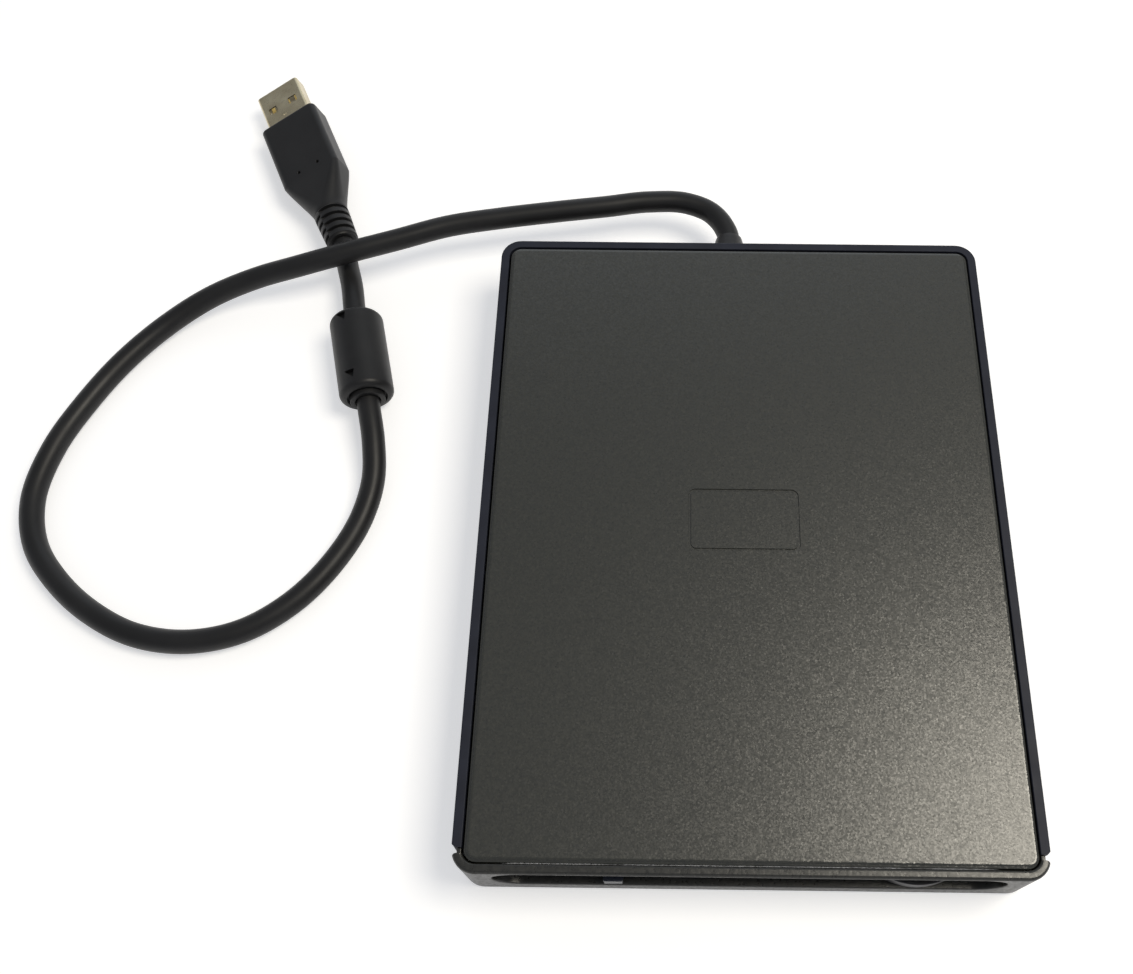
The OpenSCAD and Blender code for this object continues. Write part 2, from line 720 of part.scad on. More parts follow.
module rod_clamps() color("#2b2c30") in_drive()
    for (y = [rod_front + 0.2, rod_back - clamp_t - 0.6]) difference() {
    box([rod_x - 3, y, sheet_t], [rod_x + 3, y + clamp_t, rod_z + rod_r + 0.3]);
    rod_y([rod_x, y - 1, rod_z], rod_r, 5);
}

module head_carriage() color("#2e3036") in_drive() {
    difference() {
        union() {
            box([rod_x - 3, head_y - 1.5, 1.1], [rod_x + 3, head_y + 22, 4.2]);
            box([rod_x, head_y - 1.5, 1.5], [11, post_back + 1.4, 3.6]);
            box([-7.5, head_y - 5, 1.5], [11, head_y, 3.6]);
            box([-8, post_back - 2.3, 1.5], [8, post_back + 2.2, 8.8]);
            both_sides() box([6, post_back - 2.3, 8], [8, post_back + 2.2, 11.5]);
            // finger that follows the leadscrew
            box([7, follower_y - 0.6, screw_z - 0.8],
                [screw_x - lead_r - 0.9, follower_y + 0.6, screw_z + 0.8]);
        }
        rod_y([rod_x, head_y - 10, rod_z], rod_r + run, 60);
        rod_x([-10, post_back, arm_pin_z], arm_pin_r, 20);
    }
    rod_x([screw_x - lead_r - 0.9 - eps, follower_y, screw_z], 0.45, 0.85);
}

module lower_head() color("#6d6259") in_drive()
    box([-2.6, head_y - 2.6, 3.6], [2.6, head_y + 2.6, 6.1]);

module arm_pin() color("#d2d4d6") in_drive() rod_x([-8, post_back, arm_pin_z], arm_pin_r, 16);

module head_arm() color("#34363c") in_drive() difference() {
    union() {
        box([-4.2, head_y - 3, 10.9], [4.2, post_back, 11.5]);
        rod_x([-5.8, post_back, arm_pin_z], 1.25, 11.6);
        box([-5.8, post_back - 6, 10.9], [5.8, post_back, 11.5]);
    }
    rod_x([-10, post_back, arm_pin_z], arm_pin_r + run, 20);
}

module upper_head() color("#6d6259") in_drive()
    box([-2.2, head_y - 2.2, 10.6], [2.2, head_y + 2.2, 10.9]);

module leadscrew() color("#c9a24e") in_drive() {
    rod_y([screw_x, lead_front, screw_z], lead_r, lead_l);
    rod_y([screw_x, lead_front - 1, screw_z], journal_r, 1.1);
    rod_y([screw_x, lead_front + lead_l - 0.1, screw_z], stub_r, 5);
}

module stepper_motor() color("#8a8d91") in_drive() difference() {
    rod_y([screw_x, motor_y, screw_z], motor_r, motor_l);
    rod_y([screw_x, motor_y - 1, screw_z], stub_r + run, 6);
}

module stepper_bracket() color("#a3a6a9") in_drive() {
    box([screw_x - 3.5, lead_front - 1, sheet_t], [screw_x + 3.5, motor_y - 2, sheet_t + 0.6]);
    difference() {
        box([screw_x - 2.5, lead_front - 1, sheet_t], [screw_x + 2.5, lead_front - 0.3, 7.3]);
        rod_y([screw_x, lead_front - 2, screw_z], journal_r + run, 5);
    }
}

// Lever that meets the disk's front edge and its shutter
module shutter_lever() color("#b3b6b9") in_drive() translate([lever_x, lever_y, lever_z]) difference() {
    union() {
        cylinder(r = 3, h = lever_t);
        rotate([0, 0, lever_angle]) translate([0, -1.5, 0]) cube([lever_l, 3, lever_t]);
        rotate([0, 0, lever_angle]) translate([lever_l, 0, 0]) cylinder(r = 1.5, h = lever_t);
    }
    translate([0, 0, -1]) cylinder(r = 1.2 + run, h = 5);
}

// -------------------------------------------------------- cord and plug

// Strain relief: a collar inside the wall, its neck and a tapered tail
module cord_boot() color("#141416") translate([exit_x, back, exit_z]) rotate([-90, 0, 0]) {
    inside = case_wall + run;
    rotate_extrude() difference() {
        polygon([
            [0, -inside - 1.6], [5, -inside - 1.6], [5, -inside], [boot_neck_r, -inside],
            [boot_neck_r, run], [boot_flange_r, run], [boot_flange_r, 1],
            [boot_end_r, boot_out], [0, boot_out]
        ]);
        translate([0, -20]) square([cord_r, 40]);
    }
}

module cord_lead() color("#141416") rod_y([exit_x, back - 8, exit_z], cord_r, 8 + boot_out);

module cord_wires() for (i = [0:3])
    color(["#b22a22", "#e9e9e4", "#2d7a3c", "#222222"][i])
        wire([exit_x - 1.2 + 0.1*i, back - 8.4, exit_z + 0.9 - 0.6*i],
            [-6.9, usb_board_y[0] + 2.2 + 0.9*i, usb_board_top + 2.6], 0.3);

// Unit vector along the route at point i
function along(i) =
    let (d = route[min(i + 1, len(route) - 1)] - route[max(i - 1, 0)]) d/norm(d);

// The first and the last ring stand square to what they meet
function heading(i) =
    i == 0 ? [0, 1, 0] :
    i == len(route) - 1 ? [-cos(180 - plug_heading), sin(plug_heading), 0] : along(i);

// A ring of points round the route at point i
function ring(i) =
    let (d = heading(i), side = cross(d, [0, 0, 1]), s = side/norm(side), up = cross(s, d))
    [for (k = [0:cord_sides - 1])
        route[i] + cord_r*(s*cos(360*k/cord_sides) + up*sin(360*k/cord_sides))];

module usb_cord() color("#141416") {
    rings = len(route);
    polyhedron(
        points = [for (i = [0:rings - 1]) each ring(i)],
        faces = concat(
            [[for (k = [0:cord_sides - 1]) k]],
            [for (i = [0:rings - 2], k = [0:cord_sides - 1], half = [0, 1])
                let (a = i*cord_sides, b = a + cord_sides, n = (k + 1) % cord_sides)
                half == 0 ? [a + k, b + k, b + n] : [a + k, b + n, a + n]],
            [[for (k = [cord_sides - 1:-1:0]) (rings - 1)*cord_sides + k]]
        ));
}

// Moulded sleeve round the ferrite core, with a collar at each end
module ferrite_sleeve() color("#141416") in_ferrite() {
    r = ferrite_dia/2;
    end = ferrite_l/2;
    rotate([-90, 0, 0]) rotate_extrude() difference() {
        union() {
            translate([0, -end + 1.5]) square([r, ferrite_l - 3]);
            translate([0, -end]) square([r - 1.5, ferrite_l]);
            for (y = [-1, 1]) translate([r - 1.5, y*(end - 1.5)]) circle(1.5);
            translate([0, -end - 1]) square([collar_r, ferrite_l + 2]);
        }
        translate([-20, -50]) square([20 + ferrite_bore, 100]);
        translate([-20, -core_l/2]) square([20 + core_r, core_l]);
    }
}

module ferrite_core() color("#4a4a4c") in_ferrite() rotate([-90, 0, 0]) difference() {
    translate([0, 0, -core_l/2 + run]) cylinder(r = core_r - run, h = core_l - 2*run);
    translate([0, 0, -core_l]) cylinder(r = ferrite_bore, h = 2*core_l);
}

// Grip with rounded edges, its waist and the grooved tail
module plug_body() color("#17181b") in_plug() {
    edge = 1.4;
    difference() {
        union() {
            hull() for (x = [-1, 1], z = [-1, 1], y = [shell_l + 0.01, shell_l + grip_straight])
                translate([x*(grip_w/2 - edge), -y, z*(grip_t/2 - edge)])
                    rotate([90, 0, 0]) cylinder(r = edge, h = 0.01, $fn = 32);
            hull() {
                for (x = [-1, 1], z = [-1, 1])
                    translate([x*(grip_w/2 - edge), -shell_l - grip_straight, z*(grip_t/2 - edge)])
                        rotate([90, 0, 0]) cylinder(r = edge, h = 0.01, $fn = 32);
                translate([0, -grip_end, 0]) rotate([90, 0, 0]) cylinder(r = neck_r, h = 0.01, $fn = 32);
            }
            rotate([90, 0, 0]) rotate_extrude() polygon([
                [0, grip_end - 1], [neck_r, grip_end - 1], [neck_r, grip_end + 1],
                for (g = [0:tail_grooves - 1])
                    let (y = grip_end + 1.6 + groove_pitch*g, r = neck_r - 0.1*g)
                    each [
                        [r - groove_d, y - 0.4], [r - groove_d, y + 0.4],
                        [r, y + 0.6], [r - 0.04, y + 1.6]
                    ],
                [tail_r, tail_end], [0, tail_end]
            ]);
        }
        box([-shell_w/2, -shell_l - shell_in, -shell_t/2], [shell_w/2, -shell_l + 1, shell_t/2]);
    }
}

module plug_shell() color("#c9c4b8") in_plug() difference() {
    box([-shell_w/2, -shell_l - shell_in, -shell_t/2], [shell_w/2, 0, shell_t/2]);
    box([-shell_w/2 + shell_wall, -shell_l - shell_in - 1, -shell_t/2 + shell_wall],
        [shell_w/2 - shell_wall, 1, shell_t/2 - shell_wall]);
    // latch windows in the broad faces
    for (x = [-1, 1]) box([x*2.9 - 1.2, -7.2, -5], [x*2.9 + 1.2, -5.2, 5]);
}

module plug_insulator() color("#e8e6e0") in_plug()
    box([-shell_w/2 + shell_wall + run, -shell_l - shell_in, -shell_t/2 + shell_wall + run],
        [shell_w/2 - shell_wall - run, -0.4, -0.15]);

module plug_contacts() color("#c9a24e") in_plug() for (x = [-3.5, -1, 1, 3.5])
    box([x - 0.5, -10.5, -0.15], [x + 0.5, -1.2, 0.05]);

bottom_case();
top_cover();
front_bezel();
rubber_feet();
case_screws();
drive_faceplate();
chassis();
module_screws();
module_cover();
logic_board();
board_chips();
switch_bodies();
logic_socket();
usb_board();
usb_chips();
usb_socket();
cord_header();
board_screws();
ribbon_cable();
spindle_bearing();
spindle_stator();
spindle_coils();
stepper_motor();
stepper_bracket();
guide_rod();
rod_clamps();
light_pipe();
activity_led();
eject_spring();
cord_boot();
cord_lead();
cord_wires();
usb_cord();
ferrite_sleeve();
ferrite_core();
plug_body();
plug_shell();
plug_insulator();
plug_contacts();
eject_button();
slider_plate();
disk_holder();
head_arm();
upper_head();
head_carriage();
lower_head();
arm_pin();
leadscrew();
spindle_rotor();
rotor_magnet();
drive_pin();
shutter_lever();
slot_door();
plunger(2);  // disk_plunger
plunger(0);  // protect_plunger
plunger(1);  // density_plunger
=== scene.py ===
import json
import math

import bpy
import bmesh
from mathutils import Matrix, Vector
from mathutils.geometry import tessellate_polygon


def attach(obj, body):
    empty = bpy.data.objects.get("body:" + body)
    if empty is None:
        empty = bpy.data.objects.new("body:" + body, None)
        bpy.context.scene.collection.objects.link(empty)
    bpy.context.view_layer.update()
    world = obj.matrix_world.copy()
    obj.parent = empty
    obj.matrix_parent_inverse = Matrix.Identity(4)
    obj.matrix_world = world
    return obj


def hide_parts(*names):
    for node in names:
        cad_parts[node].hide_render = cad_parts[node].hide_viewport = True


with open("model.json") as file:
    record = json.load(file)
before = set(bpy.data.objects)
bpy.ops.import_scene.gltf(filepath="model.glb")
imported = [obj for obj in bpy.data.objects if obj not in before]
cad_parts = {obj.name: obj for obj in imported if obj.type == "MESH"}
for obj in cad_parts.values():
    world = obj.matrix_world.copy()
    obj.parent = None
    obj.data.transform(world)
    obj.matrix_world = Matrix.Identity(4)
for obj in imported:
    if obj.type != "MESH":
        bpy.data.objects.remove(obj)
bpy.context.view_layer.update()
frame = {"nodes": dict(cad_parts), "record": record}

MM = 0.001
FRONT, BACK, HALF_W = -71.25, 71.25, 55.0
WALL = 1.9
CASE_LOW, CASE_FLOOR, RIM_TOP = 0.8, 2.4, 17.7
CORNER_R = 4.5
# Where the cord leaves the back wall: across and up
EXIT_X, EXIT_Z = -1.6, 9
SCREW_POSTS = [(x, y) for x in (-50.7, 50.7) for y in (-52, 52)]
FOOT_PLACES = [(x, y) for x in (-43, 43) for y in (-59.5, 59.5)]
PLUG = (
    Matrix.Translation((-118.7, 127.4, 5.9))
    @ Matrix.Rotation(math.radians(25), 4, "Z")
    @ Matrix.Rotation(math.radians(-18), 4, "Y")
)
FERRITE = (
    Matrix.Translation((-87.43, 45.49, 6.35))
    @ Matrix.Rotation(math.atan2(3.24, 13.11), 4, "Z")
)
# The cord's way over the table, the same points as in the CAD model, in millimetres
ROUTE = [
    (-1.6, 78.55, 9), (-2.7, 82.5, 9.1), (-6, 86.8, 9.3), (-11.8, 89.3, 9.6),
    (-20.8, 89.4, 9.9), (-31.8, 87.5, 10.2), (-43.9, 85.6, 10.4), (-57.2, 83.3, 10.6),
    (-69.6, 80.6, 10.8), (-81.6, 76.2, 11), (-93.7, 72.1, 10.9), (-104.7, 69.2, 9.6),
    (-115.2, 67.1, 7.4), (-126.2, 63, 5.1), (-135.8, 56.3, 3.3), (-144.3, 46.5, 2.7),
    (-150.8, 35.1, 2.6), (-155.8, 22.6, 2.6), (-157.3, 9.6, 2.6), (-154, -1.35, 2.6),
    (-147.4, -9.6, 2.6), (-138.7, -16.5, 2.6), (-128.1, -21.5, 2.6), (-116.7, -22.8, 2.6),
    (-105.8, -20.3, 2.6), (-96.1, -13.8, 2.6), (-88.2, -3.9, 2.6), (-83.4, 6.6, 2.8),
    (-81.8, 15.7, 3.6), (-82.4, 23.9, 5.2), (-84.19, 32.38, 6.35), (-87.43, 45.49, 6.35),
    (-90.67, 58.6, 6.35), (-92.6, 67, 5.4), (-94.4, 72.7, 4.8), (-96.1, 78.9, 5.9),
]
CORD_D = 5.2
# Mould windows in the ferrite's sleeve: place along it in millimetres, degrees round it
FERRITE_WINDOWS = ((8.7, -23.5), (-7.3, -22))


# ---------------------------------------------------------------- camera

def make_camera():
    """The photograph's camera, fitted to straight edges of the case and top plate."""
    data = bpy.data.cameras.new("camera")
    data.sensor_width = 36
    data.lens = 38.208
    data.shift_x = -0.0802
    data.shift_y = 0.0009
    data.clip_start = 0.01
    data.clip_end = 20
    camera = bpy.data.objects.new("camera", data)
    camera.matrix_world = Matrix((
        (0.9999, -0.0116, 0.0047, -0.01687),
        (0.0125, 0.8981, -0.4396, -0.10395),
        (0.0009, 0.4396, 0.8982, 0.24480),
        (0, 0, 0, 1),
    ))
    bpy.context.scene.collection.objects.link(camera)
    bpy.context.scene.camera = camera


# ------------------------------------------------------------- materials

def srgb(r, g, b):
    """Linear colour of the 0 to 255 values that a screen shows."""
    def one(c):
        c = c / 255
        return c / 12.92 if c <= 0.04045 else ((c + 0.055) / 1.055) ** 2.4
    return (one(r), one(g), one(b), 1)


class Finish:
    """A procedural material: mottled colour, uneven gloss and a fine relief."""

    def __init__(self, name):
        self.material = bpy.data.materials.new(name)
        self.material.use_nodes = True
        self.nodes = self.material.node_tree.nodes
        self.links = self.material.node_tree.links
        self.shader = self.nodes["Principled BSDF"]
        self.where = self.nodes.new("ShaderNodeTexCoord").outputs["Object"]

    def noise(self, size_mm, detail=3.0, stretch=None, rough=0.55):
        """Noise with blotches of about that size."""
        node = self.nodes.new("ShaderNodeTexNoise")
        node.inputs["Scale"].default_value = 1 / (size_mm * MM)
        node.inputs["Detail"].default_value = detail
        node.inputs["Roughness"].default_value = rough
        source = self.where
        if stretch:
            mapping = self.nodes.new("ShaderNodeMapping")
            mapping.inputs["Scale"].default_value = stretch
            self.links.new(source, mapping.inputs["Vector"])
            source = mapping.outputs["Vector"]
        self.links.new(source, node.inputs["Vector"])
        return node.outputs["Fac"]

    def normal(self):
        """The surface's normal before any relief."""
        return self.nodes.new("ShaderNodeNewGeometry").outputs["Normal"]

    def flakes(self, size_mm, tilt):
        """A surface normal tilted a little at random in each cell of a speckled finish."""
        cell = self.nodes.new("ShaderNodeTexVoronoi")
        cell.inputs["Scale"].default_value = 1 / (size_mm * MM)
        self.links.new(self.where, cell.inputs["Vector"])
        tilted = self.nodes.new("ShaderNodeVectorMath")
        tilted.operation = "MULTIPLY_ADD"
        centred = self.nodes.new("ShaderNodeVectorMath")
        centred.operation = "SUBTRACT"
        centred.inputs[1].default_value = (0.5, 0.5, 0.5)
        self.links.new(cell.outputs["Color"], centred.inputs[0])
        self.links.new(centred.outputs["Vector"], tilted.inputs[0])
        tilted.inputs[1].default_value = (tilt, tilt, tilt)
        self.links.new(self.normal(), tilted.inputs[2])
        unit = self.nodes.new("ShaderNodeVectorMath")
        unit.operation = "NORMALIZE"
        self.links.new(tilted.outputs["Vector"], unit.inputs[0])
        return unit.outputs["Vector"]

    def by_slope(self, to, sloped, ends):
        """Blend an input towards sloped as the normal's z goes from ends[0] to ends[1]."""
        socket = self.shader.inputs[to]
        parts = self.nodes.new("ShaderNodeSeparateXYZ")
        self.links.new(self.normal(), parts.inputs["Vector"])
        slope = self.nodes.new("ShaderNodeMapRange")
        slope.inputs["From Min"].default_value = ends[0]
        slope.inputs["From Max"].default_value = ends[1]
        self.links.new(parts.outputs["Z"], slope.inputs["Value"])
        mix = self.nodes.new("ShaderNodeMix")
        self.links.new(slope.outputs["Result"], mix.inputs["Factor"])
        if socket.links:
            self.links.new(socket.links[0].from_socket, mix.inputs["A"])
        else:
            mix.inputs["A"].default_value = socket.default_value
        mix.inputs["B"].default_value = sloped
        self.links.new(mix.outputs["Result"], socket)
        return self

    def colour(self, source, stops):
        """Colour by a ramp of (place, colour) over the source."""
        ramp = self.nodes.new("ShaderNodeValToRGB")
        edges = ramp.color_ramp.elements
        while len(edges) < len(stops):
            edges.new(0.5)
        for edge, (place, value) in zip(edges, stops):
            edge.position = place
            edge.color = value
        self.links.new(source, ramp.inputs["Fac"])
        self.links.new(ramp.outputs["Color"], self.shader.inputs["Base Color"])
        return self

    def spread(self, source, low, high, to, ends=(0.25, 0.75)):
        """Map the source from its ends to the range low to high of one input."""
        node = self.nodes.new("ShaderNodeMapRange")
        node.inputs["From Min"].default_value = ends[0]
        node.inputs["From Max"].default_value = ends[1]
        node.inputs["To Min"].default_value = low
        node.inputs["To Max"].default_value = high
        self.links.new(source, node.inputs["Value"])
        self.links.new(node.outputs["Result"], self.shader.inputs[to])
        return self

    def relief(self, layers, last=None):
        """Bumps on one another and on last: (source, height in millimetres, strength)."""
        for source, height, strength in layers:
            bump = self.nodes.new("ShaderNodeBump")
            bump.inputs["Distance"].default_value = height * MM
            bump.inputs["Strength"].default_value = strength
            self.links.new(source, bump.inputs["Height"])
            if last:
                self.links.new(last, bump.inputs["Normal"])
            last = bump.outputs["Normal"]
        self.links.new(last, self.shader.inputs["Normal"])
        return self

    def fixed(self, **values):
        """Set inputs that are the same all over the surface."""
        for key, value in values.items():
            self.shader.inputs[key.replace("_", " ")].default_value = value
        return self


def moulded(name, dark, light, rough, grain_mm=0.35, grain_h=0.02, blotch_mm=9.0, level=0.5):
    """Moulded plastic or rubber: two near colours, fine grain and uneven gloss."""
    f = Finish(name)
    f.colour(f.noise(blotch_mm), [(0.35, dark), (0.65, light)])
    f.spread(f.noise(blotch_mm * 0.6), rough - 0.05, rough + 0.06, "Roughness")
    f.relief([(f.noise(grain_mm, 2), grain_h, 0.5), (f.noise(grain_mm * 6, 2), grain_h * 2, 0.15)])
    f.fixed(Specular_IOR_Level=level)
    return f.material


def metal(name, dark, light, rough, stretch=(1, 1, 1), grain_mm=0.25, grain_h=0.004):
    """Metal with a drawn or brushed grain."""
    f = Finish(name)
    f.colour(f.noise(5), [(0.3, dark), (0.7, light)])
    f.spread(f.noise(grain_mm * 3, 3, stretch), rough - 0.08, rough + 0.08, "Roughness")
    f.relief([(f.noise(grain_mm, 3, stretch), grain_h, 0.5)])
    f.fixed(Metallic=1.0)
    return f.material


# Name, darker and lighter colour, roughness, then grain in mm, its height, blotches
# in mm and specular level where they differ from the usual
MOULDED = (
    ("case_black", (33, 35, 45), (39, 42, 53), 0.52, 0.5, 0.012, 9.0, 0.22),
    ("drive_black", (13, 12, 18), (19, 18, 25), 0.45, 0.5, 0.015, 9.0, 0.3),
    ("soft_black", (28, 28, 29), (34, 34, 35), 0.42, 0.6, 0.012, 12, 0.3),
    ("foot_rubber", (24, 24, 24), (32, 32, 32), 0.7, 0.5, 0.02),
    ("chip_black", (30, 30, 32), (38, 38, 40), 0.55, 0.3, 0.01),
    ("nylon_white", (224, 220, 208), (236, 233, 222), 0.4),
    ("ribbon_grey", (186, 188, 192), (206, 208, 210), 0.45),
    ("head_ceramic", (96, 84, 74), (122, 110, 98), 0.25),
    ("magnet", (66, 62, 58), (84, 80, 76), 0.6),
    ("ferrite", (62, 62, 64), (80, 80, 82), 0.5),
)
# Name, darker and lighter colour, roughness, then the grain's stretch and size in mm
METALS = (
    ("zinc_steel", (170, 173, 176), (196, 198, 200), 0.36, (1, 0.12, 1)),
    ("bright_steel", (204, 206, 208), (222, 223, 224), 0.16),
    ("nickel", (190, 177, 146), (214, 203, 172), 0.30, (1, 1, 1), 0.5),
    ("gold_contact", (206, 188, 134), (222, 206, 154), 0.22),
    ("bronze", (168, 132, 76), (196, 160, 100), 0.38),
    ("copper", (170, 92, 52), (200, 120, 74), 0.30, (1, 1, 6)),
)


def make_materials():
    """Every material, by name."""
    made = {}
    cover = Finish("cover_charcoal")
    cover.colour(cover.noise(0.7, 3), [(0.3, srgb(33, 34, 28)), (0.7, srgb(45, 45, 37))])
    cover.spread(cover.noise(0.42, 3, rough=0.8), 0.25, 0.38, "Roughness", (0.3, 0.7))
    cover.by_slope("Roughness", 0.17, (0.9995, 0.99))
    cover.relief(
        [(cover.noise(0.5, 2), 0.02, 0.7), (cover.noise(7, 2), 0.06, 0.3)],
        cover.flakes(0.3, 0.075),
    )
    cover.fixed(Specular_IOR_Level=0.9)
    made["cover_charcoal"] = cover.material
    bezel = Finish("bezel_charcoal")
    bezel.colour(bezel.noise(0.8, 3), [(0.3, srgb(31, 31, 29)), (0.7, srgb(43, 43, 39))])
    bezel.spread(bezel.noise(0.9, 3, rough=0.7), 0.24, 0.40, "Roughness", (0.3, 0.7))
    bezel.relief([(bezel.noise(0.9, 2), 0.06, 0.7)])
    bezel.fixed(Specular_IOR_Level=0.6)
    # Upright faces get a low specular level: painted shade, so the front face reflects little of
    # the bright floor and reads darker.
    bezel.by_slope("Specular IOR Level", 0.12, (0.8, 0.3))
    made["bezel_charcoal"] = bezel.material
    for name, dark, light, *rest in MOULDED:
        made[name] = moulded(name, srgb(*dark), srgb(*light), *rest)

    board = Finish("board_green")
    board.colour(board.noise(1.6, 2), [(0.46, srgb(18, 74, 44)), (0.54, srgb(30, 98, 60))])
    board.spread(board.noise(3), 0.25, 0.38, "Roughness")
    board.relief([(board.noise(1.6, 2), 0.03, 0.4)])
    made["board_green"] = board.material

    wires = Finish("wire_colours")
    wires.colour(wires.noise(0.9, 0), [
        (0.30, srgb(176, 40, 32)), (0.45, srgb(226, 226, 222)),
        (0.58, srgb(42, 120, 60)), (0.70, srgb(30, 30, 30)),
    ])
    wires.spread(wires.noise(2), 0.35, 0.5, "Roughness")
    made["wire_colours"] = wires.material

    pipe = Finish("light_pipe_grey")
    pipe.colour(pipe.noise(1.4), [(0.3, srgb(40, 43, 52)), (0.7, srgb(54, 58, 68))])
    pipe.spread(pipe.noise(0.9), 0.22, 0.32, "Roughness")
    pipe.relief([(pipe.noise(0.5), 0.01, 0.4)])
    pipe.fixed(Transmission_Weight=0.1, IOR=1.49, Specular_IOR_Level=0.1)
    made["light_pipe_grey"] = pipe.material

    led = Finish("led_clear")
    led.colour(led.noise(1.2), [(0.3, srgb(196, 216, 176)), (0.7, srgb(216, 232, 200))])
    led.spread(led.noise(0.8), 0.08, 0.16, "Roughness")
    led.fixed(Transmission_Weight=0.7, IOR=1.5)
    made["led_clear"] = led.material

    for name, dark, light, *rest in METALS:
        made[name] = metal(name, srgb(*dark), srgb(*light), *rest)
    return made


make_camera()
MATERIALS = make_materials()


# ------------------------------------------------------------ mesh pieces

def rounded(w, d, r, z=0.0, cx=0.0, cy=0.0, steps=6):
    """Points round a rectangle with rounded corners."""
    points = []
    for k, (sx, sy) in enumerate(((1, 1), (-1, 1), (-1, -1), (1, -1))):
        for i in range(steps + 1):
            a = math.radians(90 * (k + i / steps))
            points.append((
                cx + sx * (w / 2 - r) + r * math.cos(a),
                cy + sy * (d / 2 - r) + r * math.sin(a),
                z,
            ))
    return points


def circle(r, z=0.0, cx=0.0, cy=0.0, n=48):
    """Points of a circle at height z."""
    return [
        (cx + r * math.cos(2 * math.pi * i / n), cy + r * math.sin(2 * math.pi * i / n), z)
        for i in range(n)
    ]


def quarter(r, n=4):
    """A rounded edge as (inset, drop) pairs, from the side to the top."""
    return [
        (r - r * math.cos(math.pi / 2 * i / n), r * math.sin(math.pi / 2 * i / n) - r)
        for i in range(n + 1)
    ]


def carve(obj, cuts):
    """Take the closed solids in cuts out of the object's mesh."""
    tools = []
    for cut in cuts:
        tool = bpy.data.objects.new("cut", cut.mesh("cut"))
        bpy.context.scene.collection.objects.link(tool)
        step = obj.modifiers.new("cut", "BOOLEAN")
        step.operation = "DIFFERENCE"
        step.solver = "EXACT"
        step.object = tool
        tools.append(tool)
    bpy.context.view_layer.update()
    done = obj.evaluated_get(bpy.context.evaluated_depsgraph_get())
    mesh = bpy.data.meshes.new_from_object(done)
    obj.modifiers.clear()
    obj.data = mesh
    for tool in tools:
        bpy.data.objects.remove(tool)


class Solid:
    """Points and faces of one piece, in millimetres, gathered ring by ring."""

    def __init__(self, place=None):
        self.place = place or Matrix.Identity(4)
        self.points = []
        self.faces = []

    def ring(self, points):
        """Add a row of points and return their numbers."""
        start = len(self.points)
        self.points.extend(self.place @ Vector(p) for p in points)
        return list(range(start, len(self.points)))

    def band(self, a, b, closed=True):
        """Join two rows of the same length by four-sided faces."""
        n = len(a)
        for i in range(n if closed else n - 1):
            j = (i + 1) % n
            self.faces.append((a[i], a[j], b[j], b[i]))

    def cap(self, ring):
        """Close a row by one face."""
        self.faces.append(tuple(ring))

    def fill(self, outer, *holes):
        """Flat face inside outer and outside the holes."""
        rings = [outer, *holes]
        index = [i for r in rings for i in r]
        for triangle in tessellate_polygon([[self.points[i] for i in r] for r in rings]):
            self.faces.append(tuple(index[k] for k in triangle))

    def loft(self, rings, first=False, last=False):
        """Skin over rings of points; first and last close its ends."""
        made = [self.ring(r) for r in rings]
        for a, b in zip(made, made[1:]):
            self.band(a, b)
        if first:
            self.cap(made[0])
        if last:
            self.cap(made[-1])
        return made

    def block(self, low, high, edge=0.2):
        """Box with all its edges rounded."""
        w, d, h = (b - a for a, b in zip(low, high))
        cx, cy = (low[0] + high[0]) / 2, (low[1] + high[1]) / 2
        edge = min(edge, w / 2.2, d / 2.2, h / 2.2)
        up = [(i, high[2] + z) for i, z in quarter(edge, 3)]
        down = [(i, low[2] - z) for i, z in reversed(quarter(edge, 3))]
        rings = [
            rounded(w - 2 * i, d - 2 * i, max(edge - i, 0.001), z, cx, cy, 3)
            for i, z in down + up
        ]
        self.loft(rings, True, True)

    def turned(self, profile, n=64, closed=False):
        """Surface of revolution about the local Z axis over (radius, z)."""
        rings = [self.ring(circle(max(r, 0.0005), z, n=n)) for r, z in profile]
        for a, b in zip(rings, rings[1:]):
            self.band(a, b)
        if closed:
            self.band(rings[-1], rings[0])
        return rings

    def mesh(self, name):
        """Mesh of the gathered points and faces."""
        mesh = bpy.data.meshes.new(name)
        bm = bmesh.new()
        verts = [bm.verts.new(p * MM) for p in self.points]
        for face in self.faces:
            bm.faces.new([verts[i] for i in face])
        bmesh.ops.remove_doubles(bm, verts=bm.verts, dist=1.5e-6)
        bmesh.ops.dissolve_degenerate(bm, edges=bm.edges, dist=1e-6)
        bmesh.ops.recalc_face_normals(bm, faces=bm.faces)
        bm.to_mesh(mesh)
        bm.free()
        return mesh

    def piece(self, name, body, slot, stands_for=(), sharp=32, cuts=()):
        """The finished object, riding on its body in its slot's material."""
        obj = bpy.data.objects.new(name, self.mesh(name))
        bpy.context.scene.collection.objects.link(obj)
        if cuts:
            carve(obj, cuts)
        obj.data.shade_smooth()
        obj.data.set_sharp_from_angle(angle=math.radians(sharp))
        obj.data.materials.append(MATERIALS[slot])
        weighted = obj.modifiers.new("even normals", "WEIGHTED_NORMAL")
        weighted.keep_sharp = True
        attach(obj, body)
        if stands_for:
            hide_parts(*stands_for)
        return obj


# ------------------------------------------------------- cord and its ends

